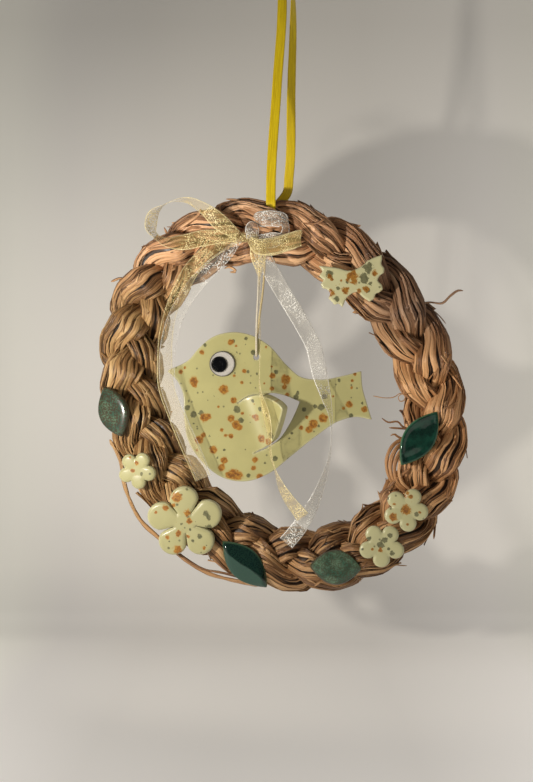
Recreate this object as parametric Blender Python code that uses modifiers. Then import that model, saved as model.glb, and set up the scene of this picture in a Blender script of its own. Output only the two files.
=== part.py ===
"""A plaited grass wreath with glazed ceramic trimmings, hung from a satin ribbon.

Metres, +Z up. The wreath hangs in the XZ plane and faces -Y. The origin is the point inside the
top of the ribbon's loop that bears on a hook. Angles round the ring run clockwise from the top,
as seen from the front.
"""
import math

import bmesh
import bpy
from mathutils import Matrix, Vector
from mathutils.bvhtree import BVHTree

# Clearance between two pieces that touch
CONTACT_GAP = 0.0003

# Hanging ribbon
RIBBON_WIDTH = 0.0060
RIBBON_THICKNESS = 0.0005
HOOK_RADIUS = 0.0032
HANG_DROP = 0.1527
HANG_OFFSET = 0.0023
RIBBON_SLOT_DEPTH = 0.0100
RIBBON_SIDESTEP = 0.0105
RIBBON_SPANS = 2

# Ring and plait: an oval ring, wider along one slanting diameter
RING_RADIUS = 0.0987
RING_OVAL = 0.0098
RING_OVAL_ANGLE = math.radians(328.0)
PLAIT_REPEATS = 7
STRAND_WIDTH = 0.0190
STRAND_THICKNESS = 0.0112
PLAIT_ROLL = math.radians(22.0)
PLAIT_START = math.radians(179.4)
# The hand-made plait's turns are uneven: size, times round the ring and start of each sway
PLAIT_SWAYS = ((0.057, 1.0, math.radians(35.2)), (0.092, 2.0, math.radians(97.3)))

# Shape of the plait, as shares of the strand's width and thickness
STRANDS = 3
SWING_SHARE = 0.647
LIFT_SHARE = 0.72
LEAN = math.radians(55.0)
STATIONS_PER_REPEAT = 12
FIRST_STATION = math.radians(15.0)
STRAND_SIDES = 8
# Thickness over width that the leaning sections were set out for
SET_OUT_RATIO = 0.578

# Organza bow
ORGANZA_WIDTH = 0.0100
ORGANZA_THICKNESS = 0.0004
KNOT_LENGTH = 0.0190
KNOT_HEIGHT = 0.0070
KNOT_DEPTH = 0.0064
KNOT_TIE_RADIUS = 0.0022
KNOT_STAND = 0.0166
KNOT_ANGLE = math.radians(345.5)
KNOT_OFFSET = -0.0058
ORGANZA_SPANS = 2

# Bird
BIRD_LENGTH = 0.1275
BIRD_THICKNESS = 0.0050
BIRD_EDGE = 0.0006
BIRD_HOLE_RADIUS = 0.0019
BIRD_DROP = 0.0589
BIRD_ACROSS = -0.0170
BIRD_DEPTH = 0.0050
WING_KERF = 0.0008
WING_BEND_RADIUS = 0.0200
WING_BEND_ANGLE = math.radians(50.0)
EYE_RADIUS = 0.0080
EYE_BACKING_THICKNESS = 0.0010
EYE_COVER_HEIGHT = 0.0042
EYE_COVER_WALL = 0.0007
PUPIL_RADIUS = 0.0049
PUPIL_THICKNESS = 0.0009
PUPIL_SIDESTEP = 0.0019
PUPIL_SAG = 0.0004
CORD_DIAMETER = 0.0012

# Flowers: overall reach is petal_reach + petal_radius
LARGE_PETAL_RADIUS = 0.0089
LARGE_PETAL_REACH = 0.0144
LARGE_FLOWER_THICKNESS = 0.0072
LEFT_PETAL_RADIUS = 0.0045
LEFT_PETAL_REACH = 0.0074
LEFT_FLOWER_THICKNESS = 0.0050
RIGHT_PETAL_RADIUS = 0.0053
RIGHT_PETAL_REACH = 0.0088
RIGHT_FLOWER_THICKNESS = 0.0042
PETALS = 5
FLOWER_RIM_SHARE = 0.3
# Rings of a flower's skin, as shares of its outline, and whether each lies on the flat back
FLOWER_RINGS = [(0.93, True), (1.0, False), (0.88, False), (0.66, False), (0.42, False), (0.18, False)]

# Leaves and butterfly
GLOSSY_LEAF_LENGTH = 0.0400
GLOSSY_LEAF_WIDTH = 0.0200
SPECKLED_LEAF_LENGTH = 0.0320
SPECKLED_LEAF_WIDTH = 0.0220
LEAF_THICKNESS = 0.0048
BUTTERFLY_SPAN = 0.0410
BUTTERFLY_THICKNESS = 0.0036

MILLIMETRE = 0.001
FAR = 1.0


def clear_scene():
    """Remove every object, so that the script always starts from nothing."""
    for thing in list(bpy.data.objects):
        bpy.data.objects.remove(thing, do_unlink=True)


def make_material(name, colour, roughness, metallic=0.0, alpha=1.0):
    """A Principled material of one colour."""
    material = bpy.data.materials.new(name)
    material.use_nodes = True
    shader = material.node_tree.nodes["Principled BSDF"]
    shader.inputs["Base Color"].default_value = (*colour, 1.0)
    shader.inputs["Roughness"].default_value = roughness
    shader.inputs["Metallic"].default_value = metallic
    shader.inputs["Alpha"].default_value = alpha
    return material


clear_scene()
parts = bpy.data.collections.new("Plaited grass wreath")
bpy.context.scene.collection.children.link(parts)

GRASS = make_material("dry grass", (0.42, 0.27, 0.14), 0.6)
CREAM_GLAZE = make_material("cream glaze", (0.62, 0.60, 0.34), 0.18)
PALE_GLAZE = make_material("pale green glaze", (0.62, 0.66, 0.46), 0.2)
DARK_GLAZE = make_material("dark green glaze", (0.02, 0.10, 0.07), 0.08)
SPECKLED_GLAZE = make_material("speckled green glaze", (0.09, 0.17, 0.13), 0.25)
SATIN = make_material("yellow satin", (0.75, 0.60, 0.03), 0.35)
GOLD_ORGANZA = make_material("gold organza", (0.72, 0.60, 0.30), 0.5, alpha=0.7)
WHITE_ORGANZA = make_material("white organza", (0.80, 0.78, 0.68), 0.5, alpha=0.7)
WHITE_PLASTIC = make_material("white plastic", (0.85, 0.85, 0.85), 0.3)
BLACK_PLASTIC = make_material("black plastic", (0.01, 0.01, 0.012), 0.3)
CLEAR_PLASTIC = make_material("clear plastic", (0.9, 0.9, 0.9), 0.05, alpha=0.3)
CORD = make_material("cord", (0.75, 0.70, 0.55), 0.6)


def add_object(name, mesh, material):
    """Put a mesh in the scene as one named object."""
    thing = bpy.data.objects.new(name, mesh)
    parts.objects.link(thing)
    if material is not None:
        mesh.materials.append(material)
    return thing


def shade_smooth(thing, angle=math.radians(40.0)):
    """Smooth shading, with edges kept sharp above an angle."""
    thing.data.shade_smooth()
    thing.data.set_sharp_from_angle(angle=angle)
    return thing


def as_mesh(thing, name):
    """Swap a curve or a modified object for its evaluated mesh, with the caps welded."""
    bpy.context.view_layer.update()
    graph = bpy.context.evaluated_depsgraph_get()
    mesh = bpy.data.meshes.new_from_object(thing.evaluated_get(graph))
    work = bmesh.new()
    work.from_mesh(mesh)
    bmesh.ops.remove_doubles(work, verts=work.verts, dist=0.000002)
    bmesh.ops.recalc_face_normals(work, faces=work.faces)
    work.to_mesh(mesh)
    work.free()
    mesh.name = name
    world = thing.matrix_world.copy()
    home = thing.users_collection[0]
    old_data = thing.data
    bpy.data.objects.remove(thing, do_unlink=True)
    if isinstance(old_data, bpy.types.Curve):
        bpy.data.curves.remove(old_data)
    made = bpy.data.objects.new(name, mesh)
    made.matrix_world = world
    home.objects.link(made)
    return made


def boolean(thing, other, operation):
    """Apply one exact Boolean to an object, and remove the other object."""
    step = thing.modifiers.new(operation.lower(), "BOOLEAN")
    step.operation = operation
    step.solver = "EXACT"
    step.object = other
    material = thing.data.materials[0] if thing.data.materials else None
    made = as_mesh(thing, thing.name)
    bpy.data.objects.remove(other, do_unlink=True)
    made.data.materials.clear()
    if material is not None:
        made.data.materials.append(material)
    return made


def chord_lengths(points, closed=False):
    """Distances from each point to the next."""
    count = len(points)
    last = count if closed else count - 1
    return [max((points[(i + 1) % count] - points[i]).length, 1e-6) for i in range(last)]


def spline_through(points, spans, closed=False, lengths=None):
    """A smooth curve through the given vectors, as spans steps between each pair.

    Its slopes allow for uneven spacing, so a short span beside a long one doesn't loop. The
    lengths are the distances between the points, or between those of a curve it goes along with.
    """
    count = len(points)
    last = count if closed else count - 1
    if lengths is None:
        lengths = chord_lengths(points, closed)
    slopes = []
    for i in range(count):
        if closed or 0 < i < count - 1:
            before = lengths[i - 1]
            after = lengths[i]
            step_in = (points[i] - points[i - 1]) / before
            step_out = (points[(i + 1) % count] - points[i]) / after
            slopes.append((step_in * after + step_out * before) / (before + after))
        elif i == 0:
            slopes.append((points[1] - points[0]) / lengths[0])
        else:
            slopes.append((points[-1] - points[-2]) / lengths[-1])
    made = []
    for i in range(last):
        following = (i + 1) % count
        for step in range(spans):
            t = step / spans
            fade = 2.0 * t ** 3 - 3.0 * t ** 2 + 1.0
            made.append(
                points[i] * fade
                + slopes[i] * (lengths[i] * (t ** 3 - 2.0 * t ** 2 + t))
                + points[following] * (1.0 - fade)
                + slopes[following] * (lengths[i] * (t ** 3 - t ** 2))
            )
    if not closed:
        made.append(points[-1].copy())
    return made


def skin_rings(name, rings, closed):
    """A closed body lofted through rings of points, as a hoop or with capped ends."""
    work = bmesh.new()
    loops = [[work.verts.new(point) for point in ring] for ring in rings]
    count = len(loops)
    for i in range(count if closed else count - 1):
        first = loops[i]
        second = loops[(i + 1) % count]
        sides = len(first)
        for j in range(sides):
            beside = (j + 1) % sides
            work.faces.new((first[j], first[beside], second[beside]))
            work.faces.new((first[j], second[beside], second[j]))
    if not closed:
        work.faces.new(list(reversed(loops[0])))
        work.faces.new(loops[-1])
    bmesh.ops.triangulate(work, faces=work.faces)
    bmesh.ops.recalc_face_normals(work, faces=work.faces)
    mesh = bpy.data.meshes.new(name)
    work.to_mesh(mesh)
    work.free()
    return mesh


# Ring and plait


def ring_radius(angle):
    """Radius of the plait's centreline at an angle."""
    return RING_RADIUS + RING_OVAL * math.cos(2.0 * (angle - RING_OVAL_ANGLE))


def strand_outline(phase):
    """One strand's section as outward and forward distances from the plait's centreline.

    The strand follows a figure of eight across the flat plait, and its flattened section leans
    so that the three of them lie against each other. The plait is rolled a little about its own
    line, which shows more of its outer side.
    """
    lean = LEAN * math.cos(STRANDS * phase)
    outline = []
    for side in range(STRAND_SIDES):
        turn = 2.0 * math.pi * side / STRAND_SIDES
        wide = 0.5 * math.cos(turn)
        thick = 0.5 * SET_OUT_RATIO * math.sin(turn)
        across = SWING_SHARE * math.sin(phase) + wide * math.cos(lean) - thick * math.sin(lean)
        through = LIFT_SHARE * math.sin(2.0 * phase)
        through += (wide * math.sin(lean) + thick * math.cos(lean)) / SET_OUT_RATIO
        across *= STRAND_WIDTH
        through *= STRAND_THICKNESS
        outward = across * math.cos(PLAIT_ROLL) - through * math.sin(PLAIT_ROLL)
        forward = across * math.sin(PLAIT_ROLL) + through * math.cos(PLAIT_ROLL)
        outline.append((outward, forward))
    return outline


def plait_reach():
    """How far the plait reaches outward, inward, forward and backward from its centreline."""
    steps = 72
    points = []
    for step in range(steps):
        points += strand_outline(2.0 * math.pi * step / steps)
    outward = [point[0] for point in points]
    forward = [point[1] for point in points]
    return max(outward), -min(outward), max(forward), -min(forward)


PLAIT_OUT, PLAIT_IN, PLAIT_FRONT, PLAIT_BACK = plait_reach()
RING_CENTRE = Vector((-HANG_OFFSET, 0.0, -(HANG_DROP + ring_radius(0.0) + PLAIT_OUT)))


def ring_point(angle, outward, forward):
    """A point beside the plait's centreline, outward from the centre and forward to the viewer."""
    away = Vector((math.sin(angle), 0.0, math.cos(angle)))
    return RING_CENTRE + away * (ring_radius(angle) + outward) + Vector((0.0, -forward, 0.0))


def uneven_angle(even):
    """Angle round the ring of a place counted evenly along the plait."""
    angle = even
    for _ in range(8):
        angle = even + sum(size * math.sin(times * angle - start) for size, times, start in PLAIT_SWAYS)
    return angle


def make_strand(index):
    """One closed strand of the plait."""
    stations = PLAIT_REPEATS * STATIONS_PER_REPEAT
    rings = []
    for i in range(stations):
        travel = 2.0 * math.pi * PLAIT_REPEATS * i / stations
        even = (PLAIT_START - FIRST_STATION + travel) / PLAIT_REPEATS
        phase = FIRST_STATION - travel + 2.0 * math.pi * index / STRANDS
        rings.append([ring_point(uneven_angle(even), *place) for place in strand_outline(phase)])
    name = f"plait_strand_{index + 1}"
    return add_object(name, skin_rings(name, rings, closed=True), GRASS)


strands = [make_strand(index) for index in range(STRANDS)]


# Resting one piece on others


def world_mesh(things):
    """World corners and faces of several objects, as one mesh."""
    corners = []
    faces = []
    for thing in things:
        start = len(corners)
        corners += [thing.matrix_world @ vertex.co for vertex in thing.data.vertices]
        faces += [[start + k for k in face.vertices] for face in thing.data.polygons]
    return corners, faces


def edge_samples(corners, faces, steps=4):
    """Points along every edge of a mesh."""
    points = []
    for face in faces:
        for first, second in zip(face, face[1:] + face[:1]):
            if first < second:
                start, end = corners[first], corners[second]
                points += [start.lerp(end, step / steps) for step in range(steps + 1)]
    return points


def travel_to_touch(thing, carriers, direction):
    """How far an object can move along a direction before it meets its carriers."""
    own_corners, own_faces = world_mesh([thing])
    their_corners, their_faces = world_mesh(carriers)
    own_tree = BVHTree.FromPolygons(own_corners, own_faces)
    their_tree = BVHTree.FromPolygons(their_corners, their_faces)
    nearest = FAR
    for point in edge_samples(own_corners, own_faces):
        distance = their_tree.ray_cast(point, direction)[3]
        if distance is not None:
            nearest = min(nearest, distance)
    for point in edge_samples(their_corners, their_faces):
        distance = own_tree.ray_cast(point, -direction)[3]
        if distance is not None:
            nearest = min(nearest, distance)
    return nearest


def rest_on(thing, carriers, direction):
    """Move an object along a direction until only the contact gap is left."""
    bpy.context.view_layer.update()
    travel = travel_to_touch(thing, carriers, direction)
    thing.location += direction * (travel - CONTACT_GAP)
    bpy.context.view_layer.update()


BACK = Vector((0.0, 1.0, 0.0))
UP = Vector((0.0, 0.0, 1.0))
PLAIT_TREE = BVHTree.FromPolygons(*world_mesh(strands))


def surface_from(origin, direction, reach):
    """Distance to the plait from a point, the least of a small bundle of rays round it."""
    first = direction.orthogonal().normalized() * reach
    second = direction.cross(first)
    shifts = [Vector()]
    for step in range(16):
        turn = 2.0 * math.pi * step / 16
        ring = first * math.cos(turn) + second * math.sin(turn)
        shifts += [ring, ring * 0.5]
    nearest = FAR
    for shift in shifts:
        distance = PLAIT_TREE.ray_cast(origin + shift, direction)[3]
        if distance is not None:
            nearest = min(nearest, distance)
    return nearest


def plait_front(x, z, reach):
    """Depth of the plait's front surface about a place."""
    start = Vector((x, -2.0 * PLAIT_FRONT, z))
    return start.y + surface_from(start, BACK, reach)


def plait_back(x, z, reach):
    """Depth of the plait's back surface about a place."""
    start = Vector((x, 2.0 * PLAIT_BACK, z))
    return start.y - surface_from(start, -BACK, reach)


# Ribbons


def ribbon_surface(name, stops, width, spans, closed):
    """An open strip through stops, each a centre and the direction of the ribbon's width.

    The length of a stop's direction is the share of the full width that the ribbon has there.
    """
    places = [Vector(stop[0]) for stop in stops]
    lengths = chord_lengths(places, closed)
    centres = spline_through(places, spans, closed, lengths)
    widths = spline_through([Vector(stop[1]) for stop in stops], spans, closed, lengths)
    count = len(centres)
    work = bmesh.new()
    rows = []
    for i, (centre, across) in enumerate(zip(centres, widths)):
        ahead = centres[(i + 1) % count] if closed else centres[min(i + 1, count - 1)]
        behind = centres[i - 1] if closed else centres[max(i - 1, 0)]
        along = (ahead - behind).normalized()
        share = min(across.length, 1.0)
        side = (across - along * across.dot(along)).normalized() * (width * share / 2.0)
        rows.append([work.verts.new(centre - side), work.verts.new(centre + side)])
    for i in range(count if closed else count - 1):
        first = rows[i]
        second = rows[(i + 1) % count]
        work.faces.new((first[0], first[1], second[1], second[0]))
    mesh = bpy.data.meshes.new(name)
    work.to_mesh(mesh)
    work.free()
    return mesh


def make_ribbon(name, stops, width, thickness, spans, material, closed=False):
    """A ribbon: an open strip made solid, half its thickness to each side."""
    thing = add_object(name, ribbon_surface(name, stops, width, spans, closed), material)
    solid = thing.modifiers.new("thickness", "SOLIDIFY")
    solid.thickness = thickness
    solid.offset = 0.0
    return as_mesh(thing, name)


# Hanging ribbon

SLOT_ANGLE = math.radians(356.0)
SIDEWAYS = (1.0, 0.0, 0.0)
DEPTHWAYS = (0.0, 1.0, 0.0)


def hanging_stops():
    """The satin ribbon's loop: over the hook, down in front, through the plait and up behind."""
    bend = HOOK_RADIUS + RIBBON_THICKNESS / 2.0
    eye = RIBBON_THICKNESS / 2.0 - bend
    half = RIBBON_WIDTH / 2.0
    stand_off = RIBBON_THICKNESS / 2.0 + CONTACT_GAP
    slot = ring_point(SLOT_ANGLE, PLAIT_OUT - RIBBON_SLOT_DEPTH, 0.0)
    edge = ring_point(SLOT_ANGLE, PLAIT_OUT, 0.0)
    left = slot.x
    right = slot.x + RIBBON_SIDESTEP
    high = slot.z + 0.4 * RIBBON_SLOT_DEPTH
    low_edge = edge.z - 0.2 * RIBBON_SLOT_DEPTH
    front = min(plait_front(left, high, half), plait_front(left, low_edge, half)) - stand_off
    back = max(plait_back(right, high, half), plait_back(right, low_edge, half)) + stand_off
    back_low = max(plait_back(right, slot.z, half), plait_back(left, slot.z, half)) + stand_off
    return [
        ((0.0, 0.0, RIBBON_THICKNESS / 2.0), DEPTHWAYS),
        ((-bend * 0.72, 0.0, eye + bend * 0.69), DEPTHWAYS),
        ((-bend, 0.0, eye - 0.001), DEPTHWAYS),
        ((-0.0031, -0.0004, eye - 0.012), (0.55, 0.83, 0.0)),
        ((-0.0030, -0.0010, eye - 0.024), (0.97, 0.24, 0.0)),
        ((-0.0065, front * 0.5, edge.z * 0.55), SIDEWAYS),
        ((left, front, edge.z + 0.0020), SIDEWAYS),
        ((left, front, high), SIDEWAYS),
        ((left, front + 0.0035, slot.z), SIDEWAYS),
        ((left, back_low - 0.0035, slot.z), SIDEWAYS),
        ((left + 0.0010, back_low, high), SIDEWAYS),
        (((left + right) / 2.0 + 0.0010, (back + back_low) / 2.0, edge.z - 0.0005), SIDEWAYS),
        ((right, back + 0.0010, edge.z + 0.0055), SIDEWAYS),
        ((right + 0.0012, back, edge.z + 0.0150), SIDEWAYS),
        ((0.0028, back * 0.5, edge.z * 0.55), (0.9, 0.45, 0.0)),
        ((0.0040, 0.0010, eye - 0.024), (0.50, 0.86, 0.0)),
        ((bend + 0.0003, 0.0002, eye - 0.010), (0.15, 0.99, 0.0)),
        ((bend, 0.0, eye - 0.001), DEPTHWAYS),
        ((bend * 0.72, 0.0, eye + bend * 0.69), DEPTHWAYS),
    ]


ribbon = make_ribbon(
    "hanging_ribbon", hanging_stops(), RIBBON_WIDTH, RIBBON_THICKNESS, RIBBON_SPANS, SATIN, closed=True
)
for index in range(STRANDS):
    slot_cutter = make_ribbon(
        f"slot_cutter_{index}", hanging_stops(), RIBBON_WIDTH + 2.0 * CONTACT_GAP,
        RIBBON_THICKNESS + 2.0 * CONTACT_GAP, RIBBON_SPANS, None, closed=True
    )
    strands[index] = boolean(strands[index], slot_cutter, "DIFFERENCE")
    shade_smooth(strands[index])


# Organza bow

knot_place = ring_point(KNOT_ANGLE, KNOT_OFFSET, KNOT_STAND)


def adopt(thing, name):
    """Name an object made by an operator and move it to the model's collection."""
    thing.name = name
    for home in list(thing.users_collection):
        home.objects.unlink(thing)
    parts.objects.link(thing)
    return thing


def make_knot(name, margin):
    """The bow's gathered knot, a long bead, grown by a margin."""
    bpy.ops.mesh.primitive_uv_sphere_add(segments=12, ring_count=8, radius=1.0)
    thing = adopt(bpy.context.object, name)
    shape = Matrix.Diagonal((
        KNOT_LENGTH / 2.0 + margin, KNOT_DEPTH / 2.0 + margin, KNOT_HEIGHT / 2.0 + margin, 1.0
    ))
    thing.data.transform(shape)
    thing.location = knot_place
    return thing


def make_knot_tie(name, margin):
    """The short twist of ribbon behind the knot that ties it down to the plait."""
    depth = surface_from(knot_place, BACK, KNOT_TIE_RADIUS) - CONTACT_GAP + margin
    bpy.ops.mesh.primitive_cylinder_add(vertices=8, radius=KNOT_TIE_RADIUS + margin, depth=depth)
    thing = adopt(bpy.context.object, name)
    thing.matrix_world = (
        Matrix.Translation(knot_place + BACK * (depth / 2.0))
        @ Matrix.Rotation(math.radians(90.0), 4, "X")
    )
    return thing


knot = make_knot("bow_knot", 0.0)
knot.data.materials.append(GOLD_ORGANZA)
knot = shade_smooth(boolean(knot, make_knot_tie("knot_tie", 0.0), "UNION"))


def bow_stops(rows):
    """Stops of a bow ribbon from rows of x, depth, height and direction, about the knot."""
    stops = []
    for x, depth, height, across in rows:
        place = knot_place + Vector((x, depth, height)) * MILLIMETRE
        stops.append((place, across))
    return stops


# Each row is right, behind and above the knot's middle in millimetres, and the width's direction
BOW_ROUTES = {
    "bow_loop_left": (GOLD_ORGANZA, [
        (-3.0, -1.0, 1.2, (-0.35, 0.0, -0.35)),
        (-13.0, -2.6, 8.0, (-0.7, 0.1, -0.7)),
        (-22.9, -3.0, 16.5, (-0.5, 0.65, -0.5)),
        (-35.3, -3.6, 22.5, (-0.1, 1.0, -0.2)),
        (-48.3, -3.6, 20.5, (0.0, 1.0, 0.0)),
        (-57.0, -3.4, 12.5, (0.0, 1.0, 0.0)),
        (-57.6, -3.2, 3.5, (0.1, 0.95, 0.1)),
        (-49.6, -2.4, -2.6, (0.0, 0.7, 0.7)),
        (-37.8, -1.8, -3.4, (0.0, 0.25, 0.97)),
        (-24.8, -1.5, -0.8, (0.0, 0.0, 1.0)),
        (-13.0, -1.3, 0.2, (0.0, 0.0, 0.8)),
        (-3.0, -0.2, -0.4, (0.0, 0.0, 0.35)),
    ]),
    "bow_loop_upright": (WHITE_ORGANZA, [
        (4.0, -1.6, 1.2, (-0.25, 0.3, 0.0)),
        (7.8, -2.6, 5.6, (-0.5, 0.85, 0.0)),
        (9.7, -3.0, 9.2, (-0.5, 0.55, 0.6)),
        (13.1, -3.0, 10.9, (0.0, 0.2, 0.98)),
        (16.8, -3.0, 11.1, (0.0, 0.0, 1.0)),
        (20.5, -2.8, 10.5, (0.1, 0.2, 0.97)),
        (23.6, -2.4, 8.0, (0.55, 0.55, 0.6)),
        (24.9, -1.6, 4.4, (0.65, 0.75, 0.0)),
        (22.6, -0.2, 0.2, (0.6, 0.4, -0.6)),
        (16.0, 1.0, -2.2, (0.25, 0.1, -0.75)),
        (9.0, 1.3, -2.4, (0.1, 0.0, -0.5)),
        (3.0, 1.2, -1.0, (0.0, 0.0, -0.3)),
    ]),
    "bow_loop_right": (GOLD_ORGANZA, [
        (4.0, -1.9, -1.6, (0.0, 0.0, 0.4)),
        (10.0, -4.6, -6.3, (0.0, 0.0, 1.0)),
        (17.0, -5.4, -6.0, (0.05, 0.0, 1.0)),
        (27.0, -5.2, -3.6, (0.1, 0.0, 1.0)),
        (34.0, -4.6, -1.4, (0.15, 0.0, 0.98)),
        (35.9, -3.3, -0.8, (0.15, 0.0, 0.98)),
        (33.6, -2.2, -1.4, (0.15, 0.0, 0.98)),
        (26.5, -2.0, -4.0, (0.1, 0.0, 1.0)),
        (17.0, -1.9, -6.6, (0.05, 0.0, 1.0)),
        (9.5, -1.6, -6.0, (0.0, 0.0, 0.8)),
        (4.0, -0.9, -1.8, (0.0, 0.0, 0.35)),
    ]),
    "bow_tail_left_gold": (GOLD_ORGANZA, [
        (-4.0, 0.6, -1.4, (0.2, 0.0, -0.4)),
        (-10.0, 0.8, -3.4, (0.3, 0.0, -0.6)),
        (-17.9, 0.9, -7.0, (0.4, 0.0, -0.85)),
        (-26.6, 0.7, -14.0, (0.6, 0.0, -0.75)),
        (-33.4, 0.2, -22.4, (0.8, 0.1, -0.55)),
        (-37.5, 0.0, -30.5, (0.9, 0.3, -0.3)),
        (-43.4, 0.2, -42.2, (0.7, 0.65, -0.2)),
        (-47.7, 0.2, -60.8, (0.8, 0.6, 0.0)),
        (-48.5, 0.0, -76.3, (0.9, 0.4, 0.0)),
        (-47.9, 0.0, -91.2, (0.97, 0.1, 0.1)),
        (-41.5, 0.0, -110.4, (0.93, 0.0, 0.3)),
        (-35.3, 0.0, -125.9, (0.93, 0.0, 0.35)),
        (-29.1, 0.0, -139.5, (0.92, 0.0, 0.4)),
        (-24.8, 0.0, -149.4, (0.92, 0.0, 0.4)),
    ]),
    "bow_tail_left_white": (WHITE_ORGANZA, [
        (-2.5, 1.4, -1.6, (0.2, 0.0, -0.3)),
        (-9.5, 2.2, -9.6, (0.5, 0.0, -0.5)),
        (-18.6, 3.0, -17.6, (0.65, 0.0, -0.7)),
        (-27.5, 3.8, -26.4, (0.75, 0.1, -0.65)),
        (-34.7, 4.8, -36.0, (0.85, 0.3, -0.4)),
        (-40.0, 5.2, -52.7, (0.95, 0.25, -0.2)),
        (-43.0, 5.2, -71.3, (0.98, 0.15, 0.0)),
        (-42.6, 4.0, -91.2, (1.0, 0.0, 0.1)),
        (-37.0, 2.2, -107.3, (0.93, 0.0, 0.3)),
        (-31.0, 1.4, -120.9, (0.93, 0.0, 0.35)),
        (-25.6, 1.4, -135.2, (0.92, 0.0, 0.4)),
        (-20.6, 1.4, -150.0, (0.92, 0.0, 0.4)),
    ]),
    "bow_tail_middle_gold": (GOLD_ORGANZA, [
        (6.0, 0.4, -1.4, (0.45, 0.0, 0.0)),
        (9.0, 0.6, -7.0, (0.95, 0.0, 0.0)),
        (9.6, 0.6, -12.0, (0.95, -0.1, 0.0)),
        (10.2, -0.4, -16.5, (0.7, -0.6, 0.0)),
        (10.6, -2.2, -24.0, (0.2, -0.97, 0.0)),
        (10.6, -3.4, -39.1, (0.0, -1.0, 0.0)),
        (10.6, -3.4, -70.1, (0.0, -1.0, 0.0)),
        (11.2, -3.4, -98.0, (0.1, -1.0, 0.0)),
        (14.3, -3.4, -112.2, (0.2, -0.97, 0.05)),
        (18.0, -3.4, -124.6, (0.3, -0.95, 0.1)),
        (20.3, -3.4, -145.7, (0.3, -0.95, 0.1)),
        (24.9, -3.8, -156.9, (0.5, -0.8, 0.2)),
        (36.9, -4.4, -173.0, (0.7, -0.5, 0.5)),
    ]),
    "bow_tail_right_white": (WHITE_ORGANZA, [
        (6.5, 1.8, -1.6, (0.4, 0.0, 0.1)),
        (12.0, 2.4, -11.0, (0.85, 0.0, 0.45)),
        (20.5, 2.6, -26.7, (0.87, 0.0, 0.5)),
        (28.0, 2.8, -39.1, (0.87, 0.0, 0.5)),
        (36.0, 2.8, -52.7, (0.87, 0.2, 0.5)),
        (43.5, 2.8, -67.0, (0.87, 0.2, 0.45)),
        (49.0, 2.8, -85.6, (0.95, 0.2, 0.25)),
        (53.4, 2.8, -101.1, (0.93, 0.35, 0.15)),
        (54.9, 2.6, -119.7, (0.75, 0.65, 0.0)),
        (54.6, 2.0, -135.2, (0.3, 0.95, 0.0)),
        (51.5, 1.2, -147.6, (0.3, 0.95, -0.1)),
        (46.6, 0.6, -160.0, (0.5, 0.8, -0.3)),
        (40.4, 0.8, -171.1, (0.75, 0.4, -0.5)),
        (33.5, 1.0, -181.7, (0.85, 0.1, -0.5)),
        (26.7, 1.0, -189.7, (0.82, 0.0, -0.57)),
    ]),
}

bow = {}
for name, (material, rows) in BOW_ROUTES.items():
    strip = make_ribbon(
        name, bow_stops(rows), ORGANZA_WIDTH, ORGANZA_THICKNESS, ORGANZA_SPANS, material
    )
    bow[name] = boolean(strip, make_knot("knot_cutter", CONTACT_GAP), "DIFFERENCE")


# Ceramic pieces: each is made flat with its front to +Z, then stood up to face the viewer


def outline_plate(name, points, thickness, edge, material, inset=0.0):
    """A flat plate with a chamfered edge, from the points of its outline in the XY plane."""
    curve = bpy.data.curves.new(name, "CURVE")
    curve.dimensions = "2D"
    curve.fill_mode = "BOTH"
    curve.extrude = thickness / 2.0 - edge
    curve.bevel_depth = edge
    curve.bevel_resolution = 0
    curve.offset = -edge - inset
    line = curve.splines.new("POLY")
    line.points.add(len(points) - 1)
    for spot, point in zip(line.points, points):
        spot.co = (point[0], point[1], 0.0, 1.0)
    line.use_cyclic_u = True
    thing = bpy.data.objects.new(name, curve)
    parts.objects.link(thing)
    made = as_mesh(thing, name)
    made.data.materials.clear()
    if material is not None:
        made.data.materials.append(material)
    return made


def stand_up(thing, place, turn=0.0, lean_out=0.0, lean_side=0.0, toward=0.0):
    """Stand a flat piece up at a place, turned in its own plane and leant towards an angle."""
    upright = Matrix.Rotation(math.radians(90.0), 4, "X")
    spin = Matrix.Rotation(-turn, 4, "Y")
    away = Vector((math.sin(toward), 0.0, math.cos(toward)))
    along = Vector((math.cos(toward), 0.0, -math.sin(toward)))
    tip_out = Matrix.Rotation(-lean_out, 4, along)
    tip_side = Matrix.Rotation(lean_side, 4, away)
    thing.matrix_world = Matrix.Translation(place) @ tip_side @ tip_out @ spin @ upright
    return thing


def glue_on(thing, angle, outward, turn=0.0, lean_out=0.0, lean_side=0.0):
    """Stand a piece before the plait and move it straight back until it touches."""
    place = ring_point(angle, outward, 3.0 * PLAIT_FRONT)
    stand_up(thing, place, turn, lean_out, lean_side, angle)
    rest_on(thing, strands, BACK)
    return thing


def smooth_outline(corners_and_curves, spans):
    """Outline points: smooth runs between corners, where each run is a list of points."""
    outline = []
    for run in corners_and_curves:
        points = [Vector((x, y, 0.0)) for x, y in run]
        outline += spline_through(points, spans)[:-1]
    return outline


def scaled(runs, factor):
    """Runs of outline points in millimetres, taken to metres and scaled."""
    return [[(x * factor, y * factor) for x, y in run] for run in runs]


# Bird, about the hole that its cord goes through

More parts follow.
